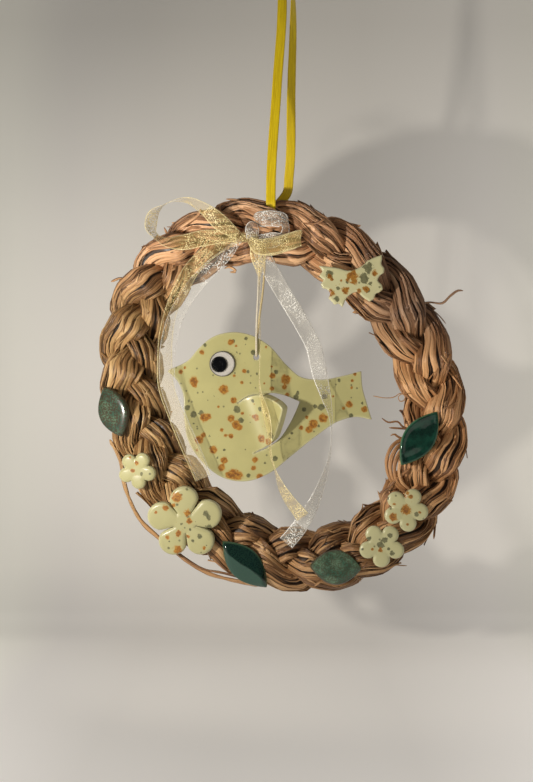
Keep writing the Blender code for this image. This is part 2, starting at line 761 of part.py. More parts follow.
BIRD_SET_OUT_LENGTH = 0.1275
BIRD_SCALE = MILLIMETRE * BIRD_LENGTH / BIRD_SET_OUT_LENGTH
BIRD_RUNS = [
    [(-55.8, -9.0), (-50.0, -6.2), (-43.2, -2.6), (-35.7, 5.8), (-27.5, 12.6), (-15.0, 15.6),
     (-2.0, 13.2), (8.0, 7.1), (18.9, -5.0), (27.5, -12.3), (40.0, -14.2), (54.9, -11.7), (65.8, -8.8)],
    [(65.8, -8.8), (66.5, -18.9), (69.2, -28.9), (72.4, -39.4)],
    [(72.4, -39.4), (62.0, -37.7), (52.0, -40.2), (38.2, -49.1), (21.4, -62.5), (8.0, -73.0),
     (-6.0, -78.0), (-20.0, -76.2), (-34.0, -65.9), (-42.8, -52.5), (-45.5, -37.0), (-46.3, -22.5),
     (-50.0, -14.5), (-55.8, -9.0)],
]
WING_CUT_RUNS = [
    [(-11.8, -28.9), (-6.5, -25.4), (0.5, -23.2), (8.8, -22.5), (17.2, -24.0), (27.2, -28.1)],
    [(27.2, -28.1), (24.7, -34.2), (19.7, -44.0), (14.7, -51.2), (8.0, -56.2), (-2.1, -60.8)],
    [(-2.1, -60.8), (-11.8, -28.9)],
]
WING_RUNS = [
    [(-14.6, -29.8), (-11.8, -28.9), (-6.5, -25.4), (0.5, -23.2), (8.8, -22.5), (17.2, -24.4),
     (23.4, -28.6), (24.9, -34.2), (20.4, -43.0), (14.7, -51.2), (8.0, -56.2), (-2.1, -60.8),
     (-4.8, -61.4)],
    [(-4.8, -61.4), (-14.6, -29.8)],
]
WING_BEND_LINE = (0.94, 0.34)
WING_BEND_START = -19.7
WING_BEND_CUTS = 6
# Corners nearer than this are made one, so that the bend leaves no sliver
WING_SLIVER = 0.0001


def bend_wing(mesh):
    """Curl a flat wing forward beyond its bend line, as damp clay bends."""
    work = bmesh.new()
    work.from_mesh(mesh)
    away = Vector((*WING_BEND_LINE, 0.0)).normalized()
    start = WING_BEND_START * BIRD_SCALE
    arc = WING_BEND_RADIUS * WING_BEND_ANGLE
    for cut in range(WING_BEND_CUTS + 1):
        spot = away * (start + arc * cut / WING_BEND_CUTS)
        geometry = work.verts[:] + work.edges[:] + work.faces[:]
        bmesh.ops.bisect_plane(work, geom=geometry, plane_co=spot, plane_no=away)
    bmesh.ops.remove_doubles(work, verts=work.verts, dist=WING_SLIVER)
    for vertex in work.verts:
        distance = vertex.co.dot(away) - start
        if distance <= 0.0:
            continue
        angle = min(distance / WING_BEND_RADIUS, WING_BEND_ANGLE)
        straight = max(distance - arc, 0.0)
        reach = WING_BEND_RADIUS * math.sin(angle) + straight * math.cos(angle)
        lift = WING_BEND_RADIUS * (1.0 - math.cos(angle)) + straight * math.sin(angle)
        height = vertex.co.z
        vertex.co += away * (reach - distance - height * math.sin(angle))
        vertex.co.z = lift + height * math.cos(angle)
    bmesh.ops.triangulate(work, faces=work.faces)
    work.to_mesh(mesh)
    work.free()


def make_bird():
    """The bird: a plate with a hole for its cord and a wing cut out and bent forward."""
    body = outline_plate(
        "bird", smooth_outline(scaled(BIRD_RUNS, BIRD_SCALE), 2), BIRD_THICKNESS, BIRD_EDGE, CREAM_GLAZE
    )
    opening = outline_plate(
        "wing_opening", smooth_outline(scaled(WING_CUT_RUNS, BIRD_SCALE), 2), 3.0 * BIRD_THICKNESS, 0.0, None
    )
    body = boolean(body, opening, "DIFFERENCE")
    wing = outline_plate(
        "wing", smooth_outline(scaled(WING_RUNS, BIRD_SCALE), 2),
        BIRD_THICKNESS - 0.0004, BIRD_EDGE, None, inset=WING_KERF
    )
    bend_wing(wing.data)
    body = boolean(body, wing, "UNION")
    bpy.ops.mesh.primitive_cylinder_add(
        vertices=12, radius=BIRD_HOLE_RADIUS, depth=3.0 * BIRD_THICKNESS
    )
    return boolean(body, bpy.context.object, "DIFFERENCE")


inner_top = RING_CENTRE + UP * (ring_radius(0.0) - PLAIT_IN)
BIRD_PLACE = inner_top + Vector((BIRD_ACROSS, -BIRD_DEPTH, -BIRD_DROP))
bird = stand_up(make_bird(), BIRD_PLACE)
shade_smooth(bird, math.radians(30.0))
bird_front = BIRD_PLACE.y - BIRD_THICKNESS / 2.0


# Bird's eye, on the front of the plate

EYE_PLACE = BIRD_PLACE + Vector((-21.4, 0.0, -4.4)) * BIRD_SCALE
PUPIL_SHIFT = Vector((-PUPIL_SIDESTEP, 0.0, -PUPIL_SAG))


def make_disc(name, radius, thickness, sides, place, material):
    """A round disc whose back is at a place and whose front faces the viewer."""
    bpy.ops.mesh.primitive_cylinder_add(vertices=sides, radius=radius, depth=thickness)
    thing = bpy.context.object
    thing.name = name
    thing.data.materials.append(material)
    for home in list(thing.users_collection):
        home.objects.unlink(thing)
    parts.objects.link(thing)
    stand_up(thing, place + Vector((0.0, -thickness / 2.0, 0.0)))
    return shade_smooth(thing)


def make_eye_cover(place):
    """The clear domed cover, open at the back, turned from a thin profile."""
    rise = EYE_COVER_HEIGHT
    wall = EYE_COVER_WALL
    outer = [(1.0, 0.0), (1.0, 0.30), (0.82, 0.70), (0.45, 0.94), (0.0, 1.0)]
    profile = [(share * EYE_RADIUS, high * rise) for share, high in outer]
    inner_radius = EYE_RADIUS - wall
    profile += [(share * inner_radius, high * (rise - wall)) for share, high in reversed(outer)]
    mesh = bpy.data.meshes.new("eye_cover")
    count = len(profile)
    edges = [(i, (i + 1) % count) for i in range(count) if i != len(outer) - 1]
    mesh.from_pydata([(x, 0.0, z) for x, z in profile], edges, [])
    thing = add_object("eye_cover", mesh, CLEAR_PLASTIC)
    turning = thing.modifiers.new("turned", "SCREW")
    turning.steps = 16
    turning.render_steps = 16
    turning.use_merge_vertices = True
    turning.merge_threshold = 0.00001
    made = as_mesh(thing, "eye_cover")
    stand_up(made, place)
    return shade_smooth(made)


backing_place = Vector((EYE_PLACE.x, bird_front - CONTACT_GAP, EYE_PLACE.z))
backing_front = backing_place - BACK * (EYE_BACKING_THICKNESS + CONTACT_GAP)
make_disc("eye_backing", EYE_RADIUS, EYE_BACKING_THICKNESS, 20, backing_place, WHITE_PLASTIC)
make_disc("eye_pupil", PUPIL_RADIUS, PUPIL_THICKNESS, 16, backing_front + PUPIL_SHIFT, BLACK_PLASTIC)
make_eye_cover(backing_front)


# Bird's cord, doubled through the hole

CORD_SPREAD = 0.0012


def cord_route():
    """Points of the cord: down in front of the bird, through its hole and up behind."""
    stand_off = BIRD_THICKNESS / 2.0 + CORD_DIAMETER / 2.0 + CONTACT_GAP
    bearing = BIRD_HOLE_RADIUS - CORD_DIAMETER / 2.0 - CONTACT_GAP
    hole = BIRD_PLACE
    tops = []
    for side, depth in ((1.6, -stand_off), (5.0, stand_off)):
        foot = hole + Vector((side * CORD_SPREAD, depth, 0.0))
        rise = surface_from(foot, UP, CORD_DIAMETER * 0.6) - 2.0 * CONTACT_GAP
        tops.append(foot + UP * rise)
    front_top, back_top = tops
    return [
        front_top,
        front_top.lerp(hole + Vector((0.0, -stand_off, 0.0)), 0.4),
        hole + Vector((0.0, -stand_off - 0.0004, 14.0 * MILLIMETRE)),
        hole + Vector((0.0, -stand_off - 0.0003, 4.0 * MILLIMETRE)),
        hole + Vector((0.0, -stand_off * 0.8, bearing)),
        hole + Vector((0.0, 0.0, bearing - 0.0003)),
        hole + Vector((0.0, stand_off * 0.8, bearing)),
        hole + Vector((0.0, stand_off + 0.0003, 4.0 * MILLIMETRE)),
        hole + Vector((CORD_SPREAD * 0.5, stand_off + 0.0004, 14.0 * MILLIMETRE)),
        back_top.lerp(hole + Vector((CORD_SPREAD, stand_off, 0.0)), 0.4),
        back_top,
    ]


def make_cord(name, route, diameter, spans, material):
    """A round cord through a route, as one tube with closed ends."""
    curve = bpy.data.curves.new(name, "CURVE")
    curve.dimensions = "3D"
    curve.bevel_depth = diameter / 2.0
    curve.bevel_resolution = 2
    curve.use_fill_caps = True
    points = spline_through(route, spans)
    line = curve.splines.new("POLY")
    line.points.add(len(points) - 1)
    for spot, point in zip(line.points, points):
        spot.co = (*point, 1.0)
    thing = bpy.data.objects.new(name, curve)
    parts.objects.link(thing)
    made = as_mesh(thing, name)
    made.data.materials.clear()
    made.data.materials.append(material)
    return shade_smooth(made)


make_cord("bird_cord", cord_route(), CORD_DIAMETER, 3, CORD)


# Flowers


def petal_axis_gap(angle, first_angle):
    """Angle from a direction to the nearest petal's middle line."""
    spacing = 2.0 * math.pi / PETALS
    return (angle - first_angle + spacing / 2.0) % spacing - spacing / 2.0


def flower_rim(gap, petal_radius, petal_reach):
    """Distance from the flower's centre to its outline, at an angle off a petal's middle."""
    aside = petal_reach * math.sin(gap)
    return petal_reach * math.cos(gap) + math.sqrt(petal_radius ** 2 - aside ** 2)


def flower_rise(distance, gap, petal_radius, petal_reach):
    """Height of the front at a place, as a share of the thickness: petals and a lower middle."""
    to_petal = Vector((distance * math.cos(gap) - petal_reach, distance * math.sin(gap))).length
    petal = max(1.0 - (to_petal / petal_radius) ** 2, 0.0) ** 0.45
    middle = 0.55 * max(1.0 - (distance / (0.8 * petal_reach)) ** 2, 0.0) ** 0.45
    return FLOWER_RIM_SHARE + (1.0 - FLOWER_RIM_SHARE) * max(petal, middle)


def make_flower(name, petal_radius, petal_reach, thickness, first_angle, rays_per_petal):
    """A five-petal flower with a flat back, the petals swelling round a lower middle."""
    rays = PETALS * rays_per_petal
    rings = []
    for level, (share, flat) in enumerate(FLOWER_RINGS):
        ring = []
        for ray in range(rays):
            angle = first_angle + 2.0 * math.pi * ray / rays
            gap = petal_axis_gap(angle, first_angle)
            distance = share * flower_rim(gap, petal_radius, petal_reach)
            height = thickness * flower_rise(distance, gap, petal_radius, petal_reach)
            if flat:
                height = 0.0
            ring.append(Vector((distance * math.cos(angle), distance * math.sin(angle), height)))
        rings.append(ring)
    flower = add_object(name, skin_rings(name, rings, closed=False), PALE_GLAZE)
    return shade_smooth(flower)


glue_on(
    make_flower("flower_large", LARGE_PETAL_RADIUS, LARGE_PETAL_REACH, LARGE_FLOWER_THICKNESS,
                math.radians(93.0), 8),
    math.radians(217.8), 0.0079, lean_out=math.radians(10.0)
)
glue_on(
    make_flower("flower_small_left", LEFT_PETAL_RADIUS, LEFT_PETAL_REACH, LEFT_FLOWER_THICKNESS,
                math.radians(60.0), 6),
    math.radians(242.9), 0.0125, lean_out=math.radians(16.0)
)
glue_on(
    make_flower("flower_small_right_upper", RIGHT_PETAL_RADIUS, RIGHT_PETAL_REACH,
                RIGHT_FLOWER_THICKNESS, math.radians(100.0), 6),
    math.radians(133.2), -0.0027
)
glue_on(
    make_flower("flower_small_right_lower", RIGHT_PETAL_RADIUS, RIGHT_PETAL_REACH,
                RIGHT_FLOWER_THICKNESS, math.radians(70.0), 6),
    math.radians(147.4), 0.0025
)


# Leaves


def make_leaf(name, length, width, crown, keel, point_share, material):
    """A thick leaf along X: crowned or dished across, or folded up along its keel."""
    stations = 10
    rings = []
    for i in range(stations + 1):
        t = 0.015 + 0.97 * i / stations
        swell = math.sin(math.pi * t) ** point_share
        half = width / 2.0 * swell
        x = length * (t - 0.5)
        ring = []
        for s in (-1.0, -0.5, 0.0, 0.5, 1.0):
            top = LEAF_THICKNESS * (0.55 + crown * (1.0 - s * s) * swell + keel * abs(s) * swell)
            ring.append(Vector((x, s * half, top)))
        for s in (0.85, 0.0, -0.85):
            ring.append(Vector((x, s * half, keel * abs(s) * LEAF_THICKNESS * 0.9 * swell)))
        rings.append(ring)
    thing = add_object(name, skin_rings(name, rings, closed=False), material)
    return shade_smooth(thing)


glue_on(
    make_leaf("leaf_glossy_right", GLOSSY_LEAF_LENGTH, GLOSSY_LEAF_WIDTH, -0.15, 0.0, 0.85, DARK_GLAZE),
    math.radians(107.8), -0.0121, turn=math.radians(-124.0)
)
glue_on(
    make_leaf("leaf_glossy_bottom", GLOSSY_LEAF_LENGTH, GLOSSY_LEAF_WIDTH, 0.1, 0.7, 0.85, DARK_GLAZE),
    math.radians(192.9), 0.0087, turn=math.radians(-46.8), lean_out=math.radians(8.0)
)
glue_on(
    make_leaf("leaf_speckled_left", SPECKLED_LEAF_LENGTH, SPECKLED_LEAF_WIDTH, 0.45, 0.0, 0.6,
              SPECKLED_GLAZE),
    math.radians(264.4), 0.0121, turn=math.radians(-68.6), lean_out=math.radians(25.0)
)
glue_on(
    make_leaf("leaf_speckled_right", SPECKLED_LEAF_LENGTH, SPECKLED_LEAF_WIDTH, 0.45, 0.0, 0.6,
              SPECKLED_GLAZE),
    math.radians(163.4), 0.0039, turn=math.radians(-4.5), lean_side=math.radians(-15.0)
)


# Butterfly

BUTTERFLY_SET_OUT_SPAN = 0.0410
BUTTERFLY_SCALE = MILLIMETRE * BUTTERFLY_SPAN / BUTTERFLY_SET_OUT_SPAN
BUTTERFLY_RUNS = [
    [(-20.5, 9.8), (-13.8, 9.2), (-2.7, 6.9), (4.4, 8.7), (10.7, 13.6), (18.3, 16.6)],
    [(18.3, 16.6), (18.2, 11.0), (19.6, 5.5)],
    [(19.6, 5.5), (15.5, 0.7), (19.0, -4.8)],
    [(19.0, -4.8), (15.5, -8.6), (10.7, -12.3)],
    [(10.7, -12.3), (6.4, -9.4), (2.8, -6.4), (-1.4, -8.2), (-3.5, -10.3), (-5.9, -15.9)],
    [(-5.9, -15.9), (-10.6, -14.2), (-14.6, -10.3)],
    [(-14.6, -10.3), (-14.6, -4.8), (-19.4, -1.6)],
    [(-19.4, -1.6), (-20.6, 3.6), (-20.5, 9.8)],
]

glue_on(
    outline_plate("butterfly", smooth_outline(scaled(BUTTERFLY_RUNS, BUTTERFLY_SCALE), 1),
                  BUTTERFLY_THICKNESS, 0.0006, PALE_GLAZE),
    math.radians(31.2), -0.0111
)
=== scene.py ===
"""Looks for a plaited grass wreath with glazed ceramic trimmings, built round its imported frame.

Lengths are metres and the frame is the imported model's: +Z up, the wreath facing -Y, the origin
at the inside top of the ribbon loop. Angles round the ring run clockwise from the top, as seen
from the front.
"""

import logging
import math
from dataclasses import dataclass, field
from enum import Enum
from typing import Callable, Mapping, Optional, Sequence, Union

import bpy
import numpy as np
from mathutils import Matrix, Vector
from mathutils.geometry import delaunay_2d_cdt

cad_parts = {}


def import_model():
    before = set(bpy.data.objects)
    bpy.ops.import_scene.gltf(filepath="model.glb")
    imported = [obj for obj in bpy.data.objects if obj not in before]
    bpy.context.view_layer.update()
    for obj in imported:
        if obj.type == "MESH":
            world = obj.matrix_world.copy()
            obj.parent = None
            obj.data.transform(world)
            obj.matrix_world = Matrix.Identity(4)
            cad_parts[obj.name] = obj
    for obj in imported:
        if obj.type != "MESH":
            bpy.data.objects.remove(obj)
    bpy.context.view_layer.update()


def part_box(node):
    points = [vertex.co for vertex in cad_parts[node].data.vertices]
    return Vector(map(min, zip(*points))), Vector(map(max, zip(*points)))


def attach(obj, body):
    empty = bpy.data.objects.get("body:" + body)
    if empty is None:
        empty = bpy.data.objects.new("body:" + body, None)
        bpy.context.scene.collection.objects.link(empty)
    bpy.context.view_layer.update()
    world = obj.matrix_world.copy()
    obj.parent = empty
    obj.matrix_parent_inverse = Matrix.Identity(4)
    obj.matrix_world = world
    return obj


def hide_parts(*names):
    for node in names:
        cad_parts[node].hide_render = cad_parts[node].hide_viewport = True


LOG = logging.getLogger("wreath")
MM = 0.001
TURN = 2.0 * math.pi
WAVER_SHARE = 0.62
BODY = "root"
PALE_SLOT = "pale_green_glaze"
Colour = tuple[float, float, float]
Point = tuple[float, float, float]
Array = np.ndarray
Socket = bpy.types.NodeSocket
Input = Union[float, Colour, Socket]


# Plain geometry


def smooth_path(points: Array, spans: int, closed: bool = False) -> Array:
    """Run a smooth curve through rows of points.

    The first three numbers of a row are its place, and any others go along with it.

    Args:
        points: One row to a point.
        spans: Steps between each pair of points.
        closed: Whether the last point joins the first.

    Returns:
        The curve's rows, ending at the last point unless it is closed.
    """
    rows = np.asarray(points, float)
    count = len(rows)
    last = count if closed else count - 1
    following = np.roll(rows, -1, axis=0)
    lengths = np.maximum(np.linalg.norm((following - rows)[:, :3], axis=1), 1e-6)[:, None]
    steps = (following - rows) / lengths
    before = np.roll(lengths, 1, axis=0)
    slopes = (np.roll(steps, 1, axis=0) * lengths + steps * before) / (lengths + before)
    if not closed:
        slopes[0] = steps[0]
        slopes[-1] = steps[-2]
    made = []
    for i in range(last):
        far = (i + 1) % count
        for step in range(spans):
            t = step / spans
            fade = 2.0 * t**3 - 3.0 * t**2 + 1.0
            made.append(
                rows[i] * fade
                + slopes[i] * lengths[i] * (t**3 - 2.0 * t**2 + t)
                + rows[far] * (1.0 - fade)
                + slopes[far] * lengths[i] * (t**3 - t**2)
            )
    if not closed:
        made.append(rows[-1])
    return np.array(made)


def resample(line: Array, spacing: float, closed: bool) -> Array:
    """Space points evenly along a line.

    Args:
        line: The line's points.
        spacing: Distance wanted between points.
        closed: Whether the line joins its start.

    Returns:
        The evenly spaced points, without a repeat of the start when closed.
    """
    whole = np.vstack([line, line[:1]]) if closed else line
    travel = distances(whole)
    count = max(int(round(travel[-1] / spacing)), 3)
    stops = np.linspace(0.0, travel[-1], count + 1)
    if closed:
        stops = stops[:-1]
    return np.stack([np.interp(stops, travel, whole[:, k]) for k in range(line.shape[1])], axis=1)


def distances(path: Array) -> Array:
    """Distance along a line of points to each of them."""
    return np.concatenate([[0.0], np.cumsum(np.linalg.norm(np.diff(path, axis=0), axis=1))])


def path_length(path: Array) -> float:
    """Length of a line of points."""
    return float(np.linalg.norm(np.diff(path, axis=0), axis=1).sum())


def angles(count: int) -> Array:
    """Angles spaced evenly round a full turn."""
    return np.linspace(0.0, TURN, count, endpoint=False)


def on_circle(turn: Array) -> Array:
    """Flat points at a distance of one from the middle, by angle."""
    return np.stack([np.cos(turn), np.sin(turn)], axis=1)


def flat_curve(rows: Sequence[tuple[float, float]], spans: int) -> Array:
    """A smooth flat curve in metres through rows of right and up in millimetres."""
    return smooth_path(np.array(rows, float) * MM, spans)


def flat_outline(runs: Sequence[Sequence[tuple[float, float]]], spans: int) -> Array:
    """Smooth flat runs that meet at corners, each without its last point."""
    return np.vstack([flat_curve(run, spans)[:-1] for run in runs])


def rings_along(path: Array, side: Array, normal: Array, across: Array, through: Array) -> Array:
    """Set rings of corners about the points of a path.

    Args:
        path: The rings' middles.
        side: Direction of the distances across, one row to a ring.
        normal: Direction of the distances through, one row to a ring.
        across: Distances by ring and place round it.
        through: The same, along the normal.

    Returns:
        Corners by ring and place round it.
    """
    return path[:, None, :] + side[:, None, :] * across[..., None] + normal[:, None, :] * through[..., None]


def unit(rows: Array) -> Array:
    """Rows scaled to length one."""
    return rows / np.maximum(np.linalg.norm(rows, axis=-1, keepdims=True), 1e-12)


def wavering(rng: np.random.Generator, places: Array, wave: float, size: float, waves: int = 4) -> Array:
    """A smooth random value along a line, about zero and mostly within a size.

    Args:
        rng: Source of the random draws.
        places: Distances along the line.
        wave: The longest wave's length, in the units of places.
        size: How far the value strays.
        waves: Number of waves added up.

    Returns:
        One value to a place.
    """
    total = np.zeros_like(places)
    for step in range(waves):
        turn = rng.uniform(0.0, TURN)
        stretch = rng.uniform(0.75, 1.3)
        total += np.sin(places * 2.0 * math.pi * (step + 1) * stretch / wave + turn) / (step + 1.0)
    return size * (total * WAVER_SHARE)


@dataclass
class Skin:
    """Corners, faces and corner values of one or more closed bodies."""

    corners: list[Array] = field(default_factory=list)
    faces: list[Array] = field(default_factory=list)
    marks: dict[str, list[Array]] = field(default_factory=dict)
    total: int = 0

    def add(self, corners: Array, faces: Sequence[Array], marks: Optional[dict[str, Array]] = None) -> None:
        """Add one closed body, turned so that its faces look outward.

        Args:
            corners: The body's corners.
            faces: Arrays of quads or triangles that index the corners.
            marks: Values named for the material to read, one to a corner.
        """
        centre = corners.mean(axis=0)
        volume = 0.0
        for block in faces:
            for k in range(1, block.shape[1] - 1):
                a, b, c = (corners[block[:, j]] - centre for j in (0, k, k + 1))
                volume += float(np.einsum("ij,ij->", a, np.cross(b, c)))
        for block in faces:
            turned = block[:, ::-1] if volume < 0.0 else block
            self.faces.append(turned + self.total)
        self.corners.append(corners)
        for name, values in (marks or {}).items():
            self.marks.setdefault(name, []).append(np.broadcast_to(values, (len(corners),)))
        self.total += len(corners)

    def sweep(self, rings: Array, marks: Optional[dict[str, Array]] = None, closed: bool = False) -> None:
        """Add a body lofted through rings of corners.

        Args:
            rings: Corners as station, place round the ring, and three numbers.
            marks: Values shaped like the rings' first two axes.
            closed: Whether the last ring joins the first; otherwise the ends are capped.
        """
        stations, around = rings.shape[:2]
        index = np.arange(stations * around).reshape(stations, around)
        ahead = np.roll(index, -1, axis=0)
        beside = np.roll(index, -1, axis=1)
        corner = np.roll(ahead, -1, axis=1)
        quads = np.stack([index, beside, corner, ahead], axis=-1)
        if not closed:
            quads = quads[:-1]
        blocks = [quads.reshape(-1, 4)]
        if not closed:
            fan = np.arange(1, around - 1)
            start = np.stack([np.zeros_like(fan), fan + 1, fan], axis=-1)
            blocks += [start, start[:, ::-1] + (stations - 1) * around]
        shape = (stations, around)
        flat = {name: np.broadcast_to(values, shape).ravel() for name, values in (marks or {}).items()}
        self.add(rings.reshape(-1, 3), blocks, flat)

    def mesh(self, name: str, crease: float = 0.0) -> bpy.types.Mesh:
        """Turn the bodies into one smooth-shaded mesh.

        Args:
            name: The mesh's name.
            crease: Angle in degrees past which an edge stays sharp, or 0 for none.

        Returns:
            The mesh, with each mark as a float attribute on its corners.
        """
        corners = np.vstack(self.corners).astype(np.float32)
        loops = np.concatenate([block.ravel() for block in self.faces]).astype(np.int32)
        sizes = np.concatenate([np.full(len(block), block.shape[1]) for block in self.faces])
        starts = np.concatenate([[0], np.cumsum(sizes)[:-1]]).astype(np.int32)
        mesh = bpy.data.meshes.new(name)
        mesh.vertices.add(len(corners))
        mesh.vertices.foreach_set("co", corners.ravel())
        mesh.loops.add(len(loops))
        mesh.loops.foreach_set("vertex_index", loops)
        mesh.polygons.add(len(sizes))
        mesh.polygons.foreach_set("loop_start", starts)
        mesh.update(calc_edges=True)
        mesh.validate()
        mesh.shade_smooth()
        if crease:
            mesh.set_sharp_from_angle(angle=math.radians(crease))
        for mark, blocks in self.marks.items():
            values = mesh.attributes.new(mark, "FLOAT", "POINT")
            values.data.foreach_set("value", np.concatenate(blocks).astype(np.float32))
        return mesh


def put_in_scene(
    skin: Skin, name: str, material: bpy.types.Material, nodes: Sequence[str] = (),
    crease: float = 0.0,
) -> bpy.types.Object:
    """Make a piece of the wreath from a skin.

    Args:
        skin: The piece's corners and faces.
        name: The piece's name.
        material: Its finish.
        nodes: CAD nodes that it stands for.
        crease: Angle in degrees past which an edge stays sharp, or 0 for none.

    Returns:
        The new object, riding on the wreath.
    """
    mesh = skin.mesh(name, crease)
    mesh.materials.append(material)
    piece = bpy.data.objects.new(name, mesh)
    bpy.context.scene.collection.objects.link(piece)
    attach(piece, BODY)
    if nodes:
        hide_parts(*nodes)
    LOG.info("%s: %d corners, %d faces", name, len(mesh.vertices), len(mesh.polygons))
    return piece


def node_box(node: str) -> tuple[Array, Array]:
    """Lowest and highest corners of a CAD node's box."""
    low, high = (np.array(corner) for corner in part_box(node))
    return low, high


# Shader work


class Effect(Enum):
    """Effects that several finishes share."""

    STREAKS = "fibre streaks"
    SPOTS = "glaze spots"
    MOTTLE = "soft mottle"
    WEAVE = "plain weave"


class Bench:
    """Adds and joins nodes in one shader tree."""

    def __init__(self, tree: bpy.types.NodeTree) -> None:
        """Start work on a tree."""
        self.tree = tree

    def fill(self, sockets: Mapping, values: Mapping) -> None:
        """Set or link sockets.

        Args:
            sockets: The sockets, by name or number.
            values: A number, colour or socket for each of those to fill.
        """
        for key, value in values.items():
            socket = sockets[key]
            if isinstance(value, bpy.types.NodeSocket):
                self.tree.links.new(value, socket)
            elif socket.type == "RGBA":
                socket.default_value = (*value, 1.0)
            else:
                socket.default_value = value

    def node(self, kind: str, inputs: Optional[Mapping] = None, **settings: object) -> bpy.types.Node:
        """Add a node.

        Args:
            kind: The node's type, without the ShaderNode prefix where it has one.
            inputs: Values or sockets for its inputs, by name or number.
            settings: Properties of the node.

        Returns:
            The node.
        """
        made = self.tree.nodes.new(kind if kind.startswith("NodeGroup") else f"ShaderNode{kind}")
        for key, value in settings.items():
            setattr(made, key, value)
        self.fill(made.inputs, inputs or {})
        return made

    def math(self, operation: str, *values: Input, clamp: bool = False) -> Socket:
        """A Math node's result."""
        return self.node("Math", dict(enumerate(values)), operation=operation, use_clamp=clamp).outputs[0]

    def times(self, first: Input, second: Input) -> Socket:
        """The product of two values."""
        return self.math("MULTIPLY", first, second)

    def line(self, value: Input, slope: Input, start: Input) -> Socket:
        """A value times a slope, plus a start."""
        return self.math("MULTIPLY_ADD", value, slope, start)

    def step(self, value: Input, low: float, high: float) -> Socket:
        """A smooth step from 0 at low to 1 at high."""
        inputs = dict(enumerate((value, low, high, 0.0, 1.0)))
        return self.node("MapRange", inputs, interpolation_type="SMOOTHSTEP").outputs[0]

    def mix(self, share: Input, first: Input, second: Input, blend: str = "MIX") -> Socket:
        """Mix two colours by a share of the second."""
        inputs = {0: share, 6: first, 7: second}
        return self.node("Mix", inputs, data_type="RGBA", blend_type=blend).outputs[2]

    def ramp(self, value: Socket, stops: Sequence[tuple[float, Colour]]) -> Socket:
        """Colour a value.

        Args:
            value: The value.
            stops: Rows of place and colour, from low to high.

        Returns:
            The colour's socket.
        """
        made = self.node("ValToRGB", {0: value})
        elements = made.color_ramp.elements
        while len(elements) < len(stops):
            elements.new(0.5)
        for element, (place, colour) in zip(elements, stops):
            element.position = place
            element.color = (*colour, 1.0)
        return made.outputs["Color"]

    def noise(self, place: Socket, scale: Input, detail: Input, roughness: float = 0.5) -> Socket:
        """A cloudy value about a half."""
        inputs = {"Vector": place, "Scale": scale, "Detail": detail, "Roughness": roughness}
        return self.node("TexNoise", inputs).outputs["Fac"]

    def mark(self, name: str) -> Socket:
        """A value that the mesh carries under a name."""
        return self.node("Attribute", attribute_name=name).outputs["Fac"]

    def place(self) -> Socket:
        """The surface's place in the piece's own coordinates."""
        return self.node("TexCoord").outputs["Object"]

    def bump(self, height: Socket, strength: float, depth: float) -> Socket:
        """A normal roughened by a height, whose full step is a depth in metres."""
        return self.node("Bump", {"Height": height, "Strength": strength, "Distance": depth}).outputs[0]

    def effect(self, effect: Effect, inputs: Mapping) -> Mapping:
        """The outputs of a shared effect, placed with values of its own."""
        return self.node("Group", inputs, node_tree=bpy.data.node_groups[effect.value]).outputs


def new_group(name: str, inputs: dict[str, float], outputs: Sequence[str]) -> tuple[Bench, Mapping, Mapping]:
    """Start a shader node group of values.

    Args:
        name: The group's name.
        inputs: Its inputs and their values at rest.
        outputs: Its outputs.

    Returns:
        A bench on its tree, its inputs to draw from, and its outputs to fill.
    """
    tree = bpy.data.node_groups.new(name, "ShaderNodeTree")
    for key, value in inputs.items():
        tree.interface.new_socket(key, in_out="INPUT", socket_type="NodeSocketFloat").default_value = value
    for key in outputs:
        tree.interface.new_socket(key, in_out="OUTPUT", socket_type="NodeSocketFloat")
    bench = Bench(tree)
    return bench, bench.node("NodeGroupInput").outputs, bench.node("NodeGroupOutput").inputs


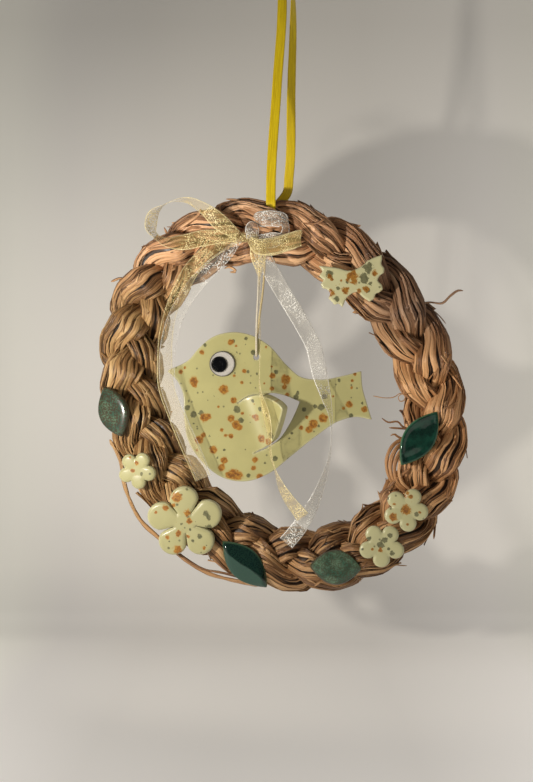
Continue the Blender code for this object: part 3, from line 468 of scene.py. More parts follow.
class Effects:
    """Builds each shared effect once."""

    @staticmethod
    def streaks() -> None:
        """Fine fibres that run along a blade, ribbon or cord."""
        bench, given, out = new_group(
            Effect.STREAKS.value, {"Along": 0.0, "Across": 0.0, "Tone": 0.0, "Fineness": 6.0},
            ["Streak", "Blotch"],
        )
        along, across, tone = (given[key] for key in ("Along", "Across", "Tone"))
        shifted = bench.line(tone, 97.0, bench.times(across, given["Fineness"]))
        narrow = bench.node("CombineXYZ", {0: shifted, 1: bench.times(along, 60.0), 2: tone}).outputs[0]
        wide = bench.node("CombineXYZ", {0: tone, 1: bench.times(along, 22.0), 2: across}).outputs[0]
        bench.fill(out, {
            "Streak": bench.noise(narrow, 1.0, 4.0, 0.65),
            "Blotch": bench.noise(wide, 1.6, 3.0),
        })

    @staticmethod
    def spots() -> None:
        """Ragged spots from the spot fields that a mesh carries, and tiny specks between them."""
        bench, given, out = new_group(
            Effect.SPOTS.value, {"Field": -1.0, "Raggedness": 0.5, "Speck Scale": 260.0, "Specks": 0.2},
            ["Spot", "Halo", "Core", "Speck"],
        )
        place = bench.place()
        edge = bench.noise(place, 560.0, 4.0, 0.65)
        wander = bench.times(bench.math("SUBTRACT", edge, 0.5), given["Raggedness"])
        ragged = bench.math("ADD", given["Field"], wander)
        clumps = bench.step(bench.noise(place, 620.0, 2.0), 0.44, 0.62)
        cells = bench.node("TexVoronoi", {"Vector": place, "Scale": given["Speck Scale"]}).outputs
        lots = bench.node("SeparateColor", {0: cells["Color"]}).outputs
        chosen = bench.math("LESS_THAN", lots[0], given["Specks"])
        within = bench.math("LESS_THAN", cells["Distance"], bench.line(lots[1], 0.16, 0.07))
        bench.fill(out, {
            "Spot": bench.step(ragged, 0.0, 0.11),
            "Halo": bench.step(ragged, -0.32, 0.08),
            "Core": bench.times(bench.step(ragged, 0.12, 0.42), clumps),
            "Speck": bench.times(chosen, within),
        })

    @staticmethod
    def mottle() -> None:
        """A soft cloudy variation through a body's own coordinates."""
        bench, given, out = new_group(
            Effect.MOTTLE.value, {"Scale": 100.0, "Detail": 3.0}, ["Cloud", "Grain"]
        )
        place = bench.place()
        bench.fill(out, {
            "Cloud": bench.noise(place, given["Scale"], given["Detail"]),
            "Grain": bench.noise(place, bench.times(given["Scale"], 9.0), 2.0),
        })

    @staticmethod
    def weave() -> None:
        """A plain weave across and along a ribbon, with its firm edges and a mask of painted glints."""
        bench, given, out = new_group(
            Effect.WEAVE.value, {"Along": 0.0, "Across": 0.0, "Threads": 24.0, "Width": 0.01},
            ["Thread", "Selvage", "Sparkle"],
        )
        turn = bench.times(given["Threads"], math.pi)
        pitch = bench.math("DIVIDE", bench.times(turn, 2.0), given["Width"])
        warp = bench.math("SINE", bench.times(given["Across"], turn))
        weft = bench.math("SINE", bench.times(given["Along"], pitch))
        place = bench.place()
        # Scattered glints, in patches, to be painted on as highlights.
        glint = bench.step(bench.noise(place, 1500.0, 1.0), 0.55, 0.64)
        patch = bench.step(bench.noise(place, 120.0, 2.0), 0.40, 0.56)
        bench.fill(out, {
            "Thread": bench.line(bench.times(warp, weft), 0.5, 0.5),
            "Selvage": bench.step(bench.math("ABSOLUTE", given["Across"]), 0.87, 0.93),
            "Sparkle": bench.times(glint, patch),
        })

    @classmethod
    def build_all(cls) -> None:
        """Make every shared effect."""
        for build in (cls.streaks, cls.spots, cls.mottle, cls.weave):
            build()


@dataclass(frozen=True)
class Finish:
    """The looks of one material, as what goes into its shader's sockets."""

    name: str

    def sockets(self, bench: Bench) -> dict[str, Input]:
        """What goes into each socket: a number, a colour or a link."""
        raise NotImplementedError

    def material(self) -> bpy.types.Material:
        """Build the material.

        Returns:
            The material, with the sockets of its Principled shader filled.
        """
        material = bpy.data.materials.new(self.name)
        material.use_nodes = True
        bench = Bench(material.node_tree)
        bench.fill(material.node_tree.nodes["Principled BSDF"].inputs, self.sockets(bench))
        return material


@dataclass(frozen=True)
class GrassFinish(Finish):
    """Dry plaited grass: split blades from dark brown to straw, redder at the ring's top, with painted shade
    deep in the strands and at blade edges, and painted light and shade by place round the ring.
    """

    name: str = "dry grass"
    # The first colour is painted shade for the crevices and blade edges, and also the darkest blade tone.
    crevice_shade: Colour = (0.022, 0.011, 0.006)
    brown: Colour = (0.17, 0.088, 0.040)
    tan: Colour = (0.45, 0.262, 0.125)
    straw: Colour = (0.74, 0.52, 0.300)
    fineness: float = 3.6

    # Tints of the ring's parts, and where the places that divide them lie from its middle. Besides the
    # grass's own hue by place, they paint light and shade: the left darker and the right lighter, evening out
    # the near lamp's falloff, the top lighter as painted light, and the bottom and the upper right darker as
    # painted shade.
    golden_shaded: Colour = (0.86, 0.80, 0.63)
    greyed_lit: Colour = (1.28, 1.05, 0.88)
    bottom: Colour = (0.91, 0.80, 0.67)
    top: Colour = (1.34, 1.17, 1.15)
    upper_right_shade: Colour = (0.65, 0.57, 0.61)
    ring_middle: Point = (-0.0023, 0.0, -0.27596)
    sideways: tuple[float, float] = (-0.0345, 0.115)
    upward: tuple[float, float] = (0.05, 0.10)
    shade_corner_right: tuple[float, float] = (0.035, 0.07)
    shade_corner_up: tuple[float, float] = (0.015, 0.055)

    def sockets(self, bench: Bench) -> dict[str, Input]:
        """Fill the shader's sockets.

        Args:
            bench: The bench on the material's tree.

        Returns:
            What goes into each socket.
        """
        along, across, tone, openness = (bench.mark(m) for m in ("along", "across", "tone", "openness"))
        lie = {"Along": along, "Across": across, "Tone": tone}
        fibre = bench.effect(Effect.STREAKS, lie | {"Fineness": self.fineness})
        streak = fibre["Streak"]
        shade = bench.line(tone, 0.58, bench.times(fibre["Blotch"], 0.52))
        shade = bench.line(bench.math("SUBTRACT", streak, 0.5), 1.05, shade)
        colour = bench.ramp(
            shade, [(0.06, self.crevice_shade), (0.28, self.brown), (0.54, self.tan), (0.90, self.straw)]
        )
        spot = bench.node("SeparateXYZ", {0: bench.place()}).outputs
        x, z = self.ring_middle[0], self.ring_middle[2]
        near, far = self.upward
        # Tints by place, which paint light and shade as well as hue.
        side = bench.step(spot[0], *(x + reach for reach in self.sideways))
        tint = bench.mix(side, self.golden_shaded, self.greyed_lit)
        tint = bench.mix(bench.step(spot[2], z - near, z - far), tint, self.bottom)
        tint = bench.mix(bench.step(spot[2], z + near, z + far), tint, self.top)
        # The upper-right corner is darkened as painted shade.
        corner = bench.times(
            bench.step(spot[0], *(x + reach for reach in self.shade_corner_right)),
            bench.step(spot[2], *(z + reach for reach in self.shade_corner_up)),
        )
        tint = bench.mix(corner, tint, self.upper_right_shade)
        colour = bench.mix(1.0, colour, tint, "MULTIPLY")
        # Blades that lie deep in a strand go to the crevice colour as painted shade.
        colour = bench.mix(bench.step(openness, 0.0, 0.9), self.crevice_shade, colour)
        # Blade edges darken towards the crevice colour as painted shade between blades.
        rim = bench.step(bench.math("ABSOLUTE", across), 0.80, 1.0)
        return {
            "Base Color": bench.mix(bench.times(rim, 0.6), colour, self.crevice_shade),
            "Roughness": bench.line(streak, 0.36, 0.20),
            "Specular IOR Level": 0.45,
            "Normal": bench.bump(streak, 0.8, 0.0008),
        }


@dataclass(frozen=True)
class GlazeFinish(Finish):
    """Speckled pale glaze over clay, with orange-brown and grey-green spots."""

    base: Colour
    warm: Colour = (0.300, 0.105, 0.008)
    warm_edge: Colour = (0.400, 0.190, 0.024)
    warm_core: Colour = (0.14, 0.040, 0.005)
    green: Colour = (0.125, 0.120, 0.056)
    green_core: Colour = (0.055, 0.058, 0.022)
    rim: Colour = (0.62, 0.60, 0.38)
    ragged: float = 1.15
    roughness: float = 0.34
    specks: float = 0.16
    speck_scale: float = 300.0
    green_speck_ratio: float = 1.7
    pale_ratio: float = 1.08

    def sockets(self, bench: Bench) -> dict[str, Input]:
        """Fill the shader's sockets.

        Args:
            bench: The bench on the material's tree.

        Returns:
            What goes into each socket.
        """
        cloud = bench.effect(Effect.MOTTLE, {"Scale": 60.0, "Detail": 3.0})
        warm, green = (
            bench.effect(Effect.SPOTS, {
                "Field": bench.mark(mark),
                "Raggedness": self.ragged,
                "Speck Scale": self.speck_scale * ratio,
                "Specks": self.specks,
            })
            for mark, ratio in (("warm", 1.0), ("green", self.green_speck_ratio))
        )
        pale = tuple(min(c * self.pale_ratio, 1.0) for c in self.base)
        colour = bench.mix(bench.step(cloud["Cloud"], 0.35, 0.7), self.base, pale)
        dusky = bench.mix(green["Core"], self.green, self.green_core)
        patchy = bench.mix(bench.step(cloud["Grain"], 0.35, 0.65), self.warm, self.warm_edge)
        patchy = bench.mix(bench.times(warm["Core"], 0.8), patchy, self.warm_core)
        for cover, share, over in (
            (bench.step(bench.mark("inward"), 1.0, 0.1), 0.45, self.rim),
            (warm["Speck"], 0.75, self.green),
            (green["Speck"], 0.6, self.warm_edge),
            (green["Spot"], 0.88, dusky),
            (warm["Halo"], 0.55, self.warm_edge),
            (warm["Spot"], 0.94, patchy),
        ):
            colour = bench.mix(bench.times(cover, share), colour, over)
        return {
            "Base Color": colour,
            "Roughness": self.roughness,
            "Coat Weight": 0.06,
            "Coat Roughness": 0.12,
            "Normal": bench.bump(cloud["Cloud"], 0.12, 0.0004),
        }


@dataclass(frozen=True)
class DarkGlazeFinish(Finish):
    """Dark green glaze, thinner and browner at the rims, either clear or densely speckled, and lighter on one
    side of a keel as painted light where asked.
    """

    deep: Colour
    light: Colour
    rim: Colour
    speckle: float
    roughness: float
    coat: float
    shine: float = 0.35
    facet: float = 0.0

    def sockets(self, bench: Bench) -> dict[str, Input]:
        """Fill the shader's sockets.

        Args:
            bench: The bench on the material's tree.

        Returns:
            What goes into each socket.
        """
        cloud = bench.effect(Effect.MOTTLE, {"Scale": 170.0, "Detail": 4.0})["Cloud"]
        fine = bench.effect(Effect.MOTTLE, {"Scale": 1000.0, "Detail": 4.0})["Cloud"]
        # The lower side of a keeled leaf is lightened as painted light.
        pool = bench.line(bench.mark("facet"), self.facet, cloud)
        colour = bench.mix(bench.step(pool, 0.35, 0.65), self.deep, self.light)
        colour = bench.mix(bench.times(bench.step(fine, 0.42, 0.54), self.speckle), colour, self.rim)
        edge = bench.step(bench.mark("inward"), 0.75, 0.1)
        return {
            "Base Color": bench.mix(bench.times(edge, 0.75), colour, self.rim),
            "Roughness": self.roughness,
            "Coat Weight": self.coat,
            "Specular IOR Level": self.shine,
            "Coat Roughness": 0.03,
            "Normal": bench.bump(cloud, 0.15, 0.0005),
        }


@dataclass(frozen=True)
class OrganzaFinish(Finish):
    """Sheer woven ribbon with firm edges, painted glints and painted sheen on the edges."""

    thread: Colour
    glint: Colour
    sheer: float
    body: float
    # How much the painted glints add to the cover, and the distance along the ribbon by which they have
    # faded.
    glitter: float = 0.9
    glitter_run: float = 1.0
    edge: float = 0.45

    def sockets(self, bench: Bench) -> dict[str, Input]:
        """Fill the shader's sockets.

        Args:
            bench: The bench on the material's tree.

        Returns:
            What goes into each socket.
        """
        along = bench.mark("along")
        weave = bench.effect(Effect.WEAVE, {"Along": along, "Across": bench.mark("across")})
        # Painted glints, strongest near the ribbon's start, which brighten its colour and its cover.
        near = bench.line(bench.step(along, self.glitter_run, self.glitter_run * 0.6), 0.8, 0.2)
        sparkle = bench.times(weave["Sparkle"], near)
        colour = bench.mix(sparkle, self.thread, self.glint)
        cover = bench.line(weave["Thread"], self.body, self.sheer)
        cover = bench.math("ADD", cover, bench.times(weave["Selvage"], self.edge))
        return {
            # The edges, woven denser, take the glint colour as painted sheen.
            "Base Color": bench.mix(weave["Selvage"], colour, self.glint),
            "Alpha": bench.math("ADD", cover, bench.times(sparkle, self.glitter), clamp=True),
            "Roughness": 0.38,
            "Sheen Weight": 0.5,
            "Sheen Roughness": 0.3,
            "Normal": bench.bump(weave["Thread"], 0.3, 0.0001),
        }


@dataclass(frozen=True)
class SatinFinish(Finish):
    """Glossy woven satin ribbon."""

    name: str = "yellow satin"
    lit: Colour = (0.88, 0.66, 0.008)
    deep: Colour = (0.60, 0.41, 0.003)

    def sockets(self, bench: Bench) -> dict[str, Input]:
        """Fill the shader's sockets.

        Args:
            bench: The bench on the material's tree.

        Returns:
            What goes into each socket.
        """
        lie = {"Along": bench.mark("along"), "Across": bench.mark("across")}
        fibre = bench.effect(Effect.STREAKS, lie | {"Tone": 0.3, "Fineness": 9.0})
        weave = bench.effect(Effect.WEAVE, lie | {"Threads": 20.0, "Width": 0.006})
        colour = bench.mix(bench.step(fibre["Streak"], 0.3, 0.7), self.deep, self.lit)
        return {
            "Base Color": bench.mix(bench.times(weave["Selvage"], 0.5), colour, self.deep),
            "Roughness": 0.36,
            "Sheen Weight": 0.12,
            "Anisotropic": 0.4,
            "Normal": bench.bump(weave["Thread"], 0.25, 0.0001),
        }


@dataclass(frozen=True)
class ThreadFinish(Finish):
    """Twisted cream and gold thread."""

    name: str = "twisted thread"
    pale: Colour = (0.80, 0.76, 0.66)
    gold: Colour = (0.68, 0.54, 0.27)

    def sockets(self, bench: Bench) -> dict[str, Input]:
        """Fill the shader's sockets.

        Args:
            bench: The bench on the material's tree.

        Returns:
            What goes into each socket.
        """
        streak = bench.effect(Effect.STREAKS, {
            "Along": bench.mark("along"), "Across": bench.mark("across"), "Tone": 0.6, "Fineness": 8.0,
        })["Streak"]
        colour = bench.mix(bench.step(bench.mark("leg"), 0.35, 0.65), self.pale, self.gold)
        dark = tuple(c * 0.6 for c in self.gold)
        return {
            "Base Color": bench.mix(bench.step(streak, 0.62, 0.35), colour, dark),
            "Roughness": 0.55,
            "Sheen Weight": 0.3,
            "Normal": bench.bump(streak, 0.4, 0.0002),
        }


@dataclass(frozen=True)
class PlasticFinish(Finish):
    """Glossy moulded plastic, opaque or clear, darkened at its rim as painted shade."""

    colour: Colour
    roughness: float
    shine: float = 0.5
    clear: bool = False
    # The dark outline at the eye's rim, painted as shade.
    rim: Colour = (0.02, 0.02, 0.018)

    def sockets(self, bench: Bench) -> dict[str, Input]:
        """Fill the shader's sockets.

        Args:
            bench: The bench on the material's tree.

        Returns:
            What goes into each socket.
        """
        cloud = bench.effect(Effect.MOTTLE, {"Scale": 400.0, "Detail": 2.0})
        dull = tuple(c * 0.92 for c in self.colour)
        colour = bench.mix(cloud["Cloud"], dull, self.colour)
        kind = {"Transmission Weight": 1.0, "Alpha": 0.06} if self.clear else {
            "Normal": bench.bump(cloud["Grain"], 0.05, 0.0001),
        }
        return kind | {
            # The rim takes the dark outline colour as painted shade.
            "Base Color": bench.mix(bench.times(bench.mark("rim"), 0.8), colour, self.rim),
            "Roughness": self.roughness,
            "IOR": 1.47,
            "Specular IOR Level": self.shine,
        }


@dataclass(frozen=True)
class BackdropFinish(Finish):
    """Pale painted board, whose own glow paints light and shade on it."""

    name: str = "pale backdrop"
    wall: Colour = (0.45, 0.431, 0.394)

    # Brightness of the board's own glow, which is painted light: rows of place and strength up its height,
    # bright on the floor and fading towards the top, then across it, lowest in the middle
    up: tuple = (
        (0.0, 1.27), (0.03, 1.08), (0.098, 1.04), (0.13, 0.73), (0.20, 0.74), (0.29, 0.77), (0.42, 0.76),
        (0.60, 0.75), (0.70, 0.71), (0.83, 0.59), (1.0, 0.385),
    )
    sideways: tuple = (
        (0.0, 0.56), (0.10, 0.53), (0.18, 0.42), (0.30, 0.335), (0.42, 0.31), (0.62, 0.315), (0.80, 0.44),
        (0.90, 0.465),
    )
    tint: Colour = (1.0, 0.957, 0.84)
    # Where the glow is low it takes a cooler tint, as the colour of painted shadow.
    shadow_tint: Colour = (0.99, 0.975, 1.03)
    shadow_below: float = 0.45

    def sockets(self, bench: Bench) -> dict[str, Input]:
        """Fill the shader's sockets.

        Args:
            bench: The bench on the material's tree.

        Returns:
            What goes into each socket.
        """
        cloud = bench.effect(Effect.MOTTLE, {"Scale": 8.0, "Detail": 3.0})["Cloud"]
        dull = tuple(c * 0.975 for c in self.wall)
        spot = bench.node("SeparateXYZ", {0: bench.place()}).outputs
        height = bench.line(spot[2], 2.0, 1.0)
        aside = bench.line(spot[0], 2.0, 0.5)
        up = bench.ramp(height, [(place, tuple(glow * c for c in self.tint)) for place, glow in self.up])
        across = bench.ramp(aside, [
            (place, tuple(glow * c for c in self.shadow_tint) if glow < self.shadow_below else (glow,) * 3)
            for place, glow in self.sideways
        ])
        # On the floor the glow grows towards the camera, as painted light.
        nearer = bench.math("MINIMUM", bench.line(spot[1], -1.9, -0.038), 0.36)
        gain = bench.line(bench.step(height, 0.13, 0.10), nearer, 1.0)
        return {
            "Base Color": bench.mix(cloud, dull, self.wall),
            "Roughness": 0.85,
            "Emission Color": bench.mix(1.0, bench.mix(1.0, up, across, "MULTIPLY"), gain, "MULTIPLY"),
            "Emission Strength": 1.0,
        }

    def material(self) -> bpy.types.Material:
        """Build the material, which is clear from behind so that it hides nothing there.

        Returns:
            The material.
        """
        material = super().material()
        bench, nodes = Bench(material.node_tree), material.node_tree.nodes
        clear = bench.node("BsdfTransparent").outputs[0]
        behind = bench.node("NewGeometry").outputs["Backfacing"]
        mixed = bench.node("MixShader", {0: behind, 1: nodes["Principled BSDF"].outputs[0], 2: clear})
        bench.fill(nodes["Material Output"].inputs, {"Surface": mixed.outputs[0]})
        return material


# The plaited ring


@dataclass
class PlaitedRing:
    """The oval ring plaited from three bundles of dry grass blades."""

    middle: Point = (-0.0023, 0.0, -0.275956)
    radius: float = 0.0987
    oval: float = 0.0098
    oval_angle: float = math.radians(328.0)
    repeats: int = 7
    width: float = 0.0199
    thickness: float = 0.0115
    roll: float = math.radians(22.0)
    start: float = math.radians(179.4)
    sways: tuple = ((0.057, 1.0, math.radians(35.2)), (0.092, 2.0, math.radians(97.3)))
    strands: int = 3
    swing_share: float = 0.50
    hold_out: float = 0.20
    lift_share: float = 0.60
    lean: float = math.radians(28.0)
    set_out_ratio: float = 0.578
    long_half: float = 0.61
    short_half: float = 0.37
    edge_rounding: float = 0.05
    steps_per_repeat: int = 25
    phase_length: float = 0.0168
    seed: int = 4711

    # The middle of a strand, dark with painted shade: stations to a repeat, sides, size as a share, and
    # metres to a phase of one
    core_stations: int = 24
    core_sides: int = 20
    core_share: float = 0.80
    core_grain: float = 0.016

    # Layers of blades: how many lie side by side, how far out, and how much that varies
    layers: tuple = ((31, 0.985, 0.05), (16, 0.92, 0.03), (8, 0.86, 0.02))

    # A blade's section: places across its upper and under sides, from -1 to 1
    upper: tuple = (-1.0, -0.86, -0.3, 0.3, 0.86, 1.0)
    under: tuple = (0.7, -0.7)

    # Least and most of a blade's sizes. Lengths are in phase, half widths in angle, heights in shares
    blade_length: tuple = (2.4, 7.5)
    blade_overlap: float = 0.7
    half_width: tuple = (0.06, 0.18)
    crown: tuple = (0.0, 0.03)
    fold: tuple = (-0.03, 0.06)
    ridge: tuple = (-0.5, 0.5)
    body: tuple = (0.05, 0.07)
    thin_edge: float = 0.022
    slant: float = 0.14
    tilt: float = 0.05

    # How a blade wavers along itself: the wave's length in metres, its size, and how many waves
    width_waver: tuple = (0.09, 0.06, 4)
    lie_waver: tuple = (0.07, 0.012, 4)
    drift_waver: tuple = (0.16, 0.035, 3)
    tilt_waver: tuple = (0.10, 0.02, 2)

    # The ends: the phase that they narrow through, and how many of them stand off and by how much
    end_length: float = 0.55
    narrow: float = 0.12
    frayed_share: float = 0.16
    frayed_lift: tuple = (0.10, 0.34)
    tuck: float = -0.10
    # How far out in a strand the painted crevice shade gives way to the blade's colour.
    open_from: float = 0.85
    open_run: float = 0.13

    def ring_radius(self, angle: Array) -> Array:
        """Radius of the plait's centreline at an angle."""
        return self.radius + self.oval * np.cos(2.0 * (angle - self.oval_angle))

    def uneven_angle(self, even: Array) -> Array:
        """Angle round the ring of a place counted evenly along the plait.

        Args:
            even: The place, as an angle.

        Returns:
            The angle, drawn out where the plait's repeats are longer.
        """
        angle = even
        for _ in range(8):
            angle = even + sum(size * np.sin(times * angle - start) for size, times, start in self.sways)
        return angle

    def beside(self, angle: Array, outward: Array, forward: Array) -> Array:
        """Points beside the plait's centreline.

        Args:
            angle: Angle round the ring.
            outward: Distance from the centreline away from the ring's middle.
            forward: Distance towards the viewer.

        Returns:
            One point to a value.
        """
        reach = self.ring_radius(angle) + outward
        x = self.middle[0] + np.sin(angle) * reach
        z = self.middle[2] + np.cos(angle) * reach
        return np.stack(np.broadcast_arrays(x, -forward, z), axis=-1)

    def on_strand(self, strand: int, phase: Array, around: Array, share: Array) -> Array:
        """Points in or on a strand, whose flattened section leans to and fro along it.

        Args:
            strand: Which strand, from 0.
            phase: How far along its figure of eight.
            around: Angle round its middle, from straight outward.
            share: Distance from its middle, 1 at its surface.

        Returns:
            One point to a value.
        """
        even = (self.start + TURN * strand / self.strands - phase) / self.repeats
        lean = self.lean * np.cos(3.0 * phase)
        at_edge = np.sin(phase) ** 4
        wide = (self.long_half - self.edge_rounding * at_edge) * share * np.cos(around - lean)
        thick = (self.short_half + 0.4 * self.edge_rounding * at_edge) * share * np.sin(around - lean)
        swing = self.swing_share * np.sin(phase) * (1.0 + self.hold_out * np.cos(phase) ** 2)
        across = swing + wide * np.cos(lean) - thick * np.sin(lean)
        through = self.lift_share * np.sin(2.0 * phase)
        through = through + (wide * np.sin(lean) + thick * np.cos(lean)) / self.set_out_ratio
        across = across * self.width
        through = through * self.thickness
        outward = across * math.cos(self.roll) - through * math.sin(self.roll)
        forward = across * math.sin(self.roll) + through * math.cos(self.roll)
        return self.beside(self.uneven_angle(even), outward, forward)

    def core(self, skin: Skin, strand: int) -> None:
        """Add the packed middle of a strand, dark with painted shade.

        Args:
            skin: The strand's skin.
            strand: Which strand, from 0.
        """
        stations = self.repeats * self.core_stations
        phase = np.arange(stations)[:, None] * (TURN * self.repeats / stations)
        around = angles(self.core_sides)[None, :]
        rings = self.on_strand(strand, phase, around, np.array(self.core_share))
        marks = {"along": phase * self.core_grain, "across": np.sin(around)}
        # A low tone and openness paint the core dark as shade.
        dark = {"tone": np.array(0.1), "openness": np.array(0.15)}
        skin.sweep(rings, marks | dark, closed=True)

    def blade(
        self, skin: Skin, strand: int, track: float, lie: float, begin: float, length: float,
        rng: np.random.Generator,
    ) -> None:
        """Add one flattened blade of grass that runs along a strand.

        Args:
            skin: The strand's skin.
            strand: Which strand, from 0.
            track: Angle round the strand's section that the blade keeps to.
            lie: How far out in the strand it lies, as a share.
            begin: Phase at which it starts.
            length: How much phase it runs through.
            rng: Source of the random draws.
        """
        count = max(int(length / TURN * self.steps_per_repeat), 6)
        run = np.linspace(0.0, 1.0, count)
        phase = begin + run * length
        metres = phase * self.phase_length
        half = rng.uniform(*self.half_width) * (1.0 + wavering(rng, metres, *self.width_waver))
        lie = lie + wavering(rng, metres, *self.lie_waver)
        slant = rng.normal(0.0, self.slant) * (run - 0.5) * length
        drift = track + slant + wavering(rng, metres, *self.drift_waver)
        tilt = rng.normal(0.0, self.tilt) + wavering(rng, metres, *self.tilt_waver)
        crown, fold, ridge, body, tone = (
            rng.uniform(*span) for span in (self.crown, self.fold, self.ridge, self.body, (0.0, 1.0))
        )
        end = np.minimum(run, 1.0 - run) * length / self.end_length
        taper = np.clip(end, 0.0, 1.0) ** 0.6
        half = half * (self.narrow + (1.0 - self.narrow) * taper)
        frayed = rng.random() < self.frayed_share
        lift = rng.uniform(*self.frayed_lift) if frayed else self.tuck
        lie = lie + lift * (1.0 - np.clip(end * 0.8, 0.0, 1.0)) ** 2
        drift = drift + (rng.uniform(-0.3, 0.3) if frayed else 0.0) * (1.0 - taper) ** 2
        across = np.array(self.upper + self.under)
        height = crown * (1.0 - across**2) - fold * np.abs(across - ridge)
        height = height - np.where(np.abs(across) > 0.9, self.thin_edge, 0.0)
        height = height - np.where(np.arange(len(across)) >= len(self.upper), body, 0.0)
        around = drift[:, None] + half[:, None] * across[None, :]
        share = lie[:, None] + height[None, :] + tilt[:, None] * across[None, :]
        rings = self.on_strand(strand, phase[:, None], around, share)
        # How open a blade lies, which sets how much painted shade it takes.
        open_side = np.clip((share - self.open_from) / self.open_run, 0.0, 1.0)
        marks = {
            "along": metres[:, None] + tone * 3.0,
            "across": across[None, :],
            "tone": np.array(tone),
            "openness": open_side,
        }
        skin.sweep(rings, marks)

    def strand_skin(self, strand: int) -> Skin:
        """Lay a strand's blades round its core.

        Args:
            strand: Which strand, from 0.

        Returns:
            The strand's skin.
        """
        rng = np.random.default_rng(self.seed + strand)
        skin = Skin()
        self.core(skin, strand)
        whole = TURN * self.repeats
        for tracks, depth, spread in self.layers:
            for track in range(tracks):
                angle = TURN * (track + rng.uniform(-0.3, 0.3)) / tracks
                begin = rng.uniform(0.0, whole)
                laid = 0.0
                while laid < whole:
                    length = min(rng.uniform(*self.blade_length), whole - laid + 0.9)
                    side = angle + rng.uniform(-0.12, 0.12)
                    lie = depth + rng.uniform(-spread, spread)
                    self.blade(skin, strand, side, lie, begin + laid, length + self.blade_overlap, rng)
                    laid += length
        return skin

    def build(self, material: bpy.types.Material) -> None:
        """Make the three strands.

        Args:
            material: The grass.
        """
        for strand in range(self.strands):
            node = f"plait_strand_{strand + 1}"
            put_in_scene(self.strand_skin(strand), f"{node}_grass", material, [node])


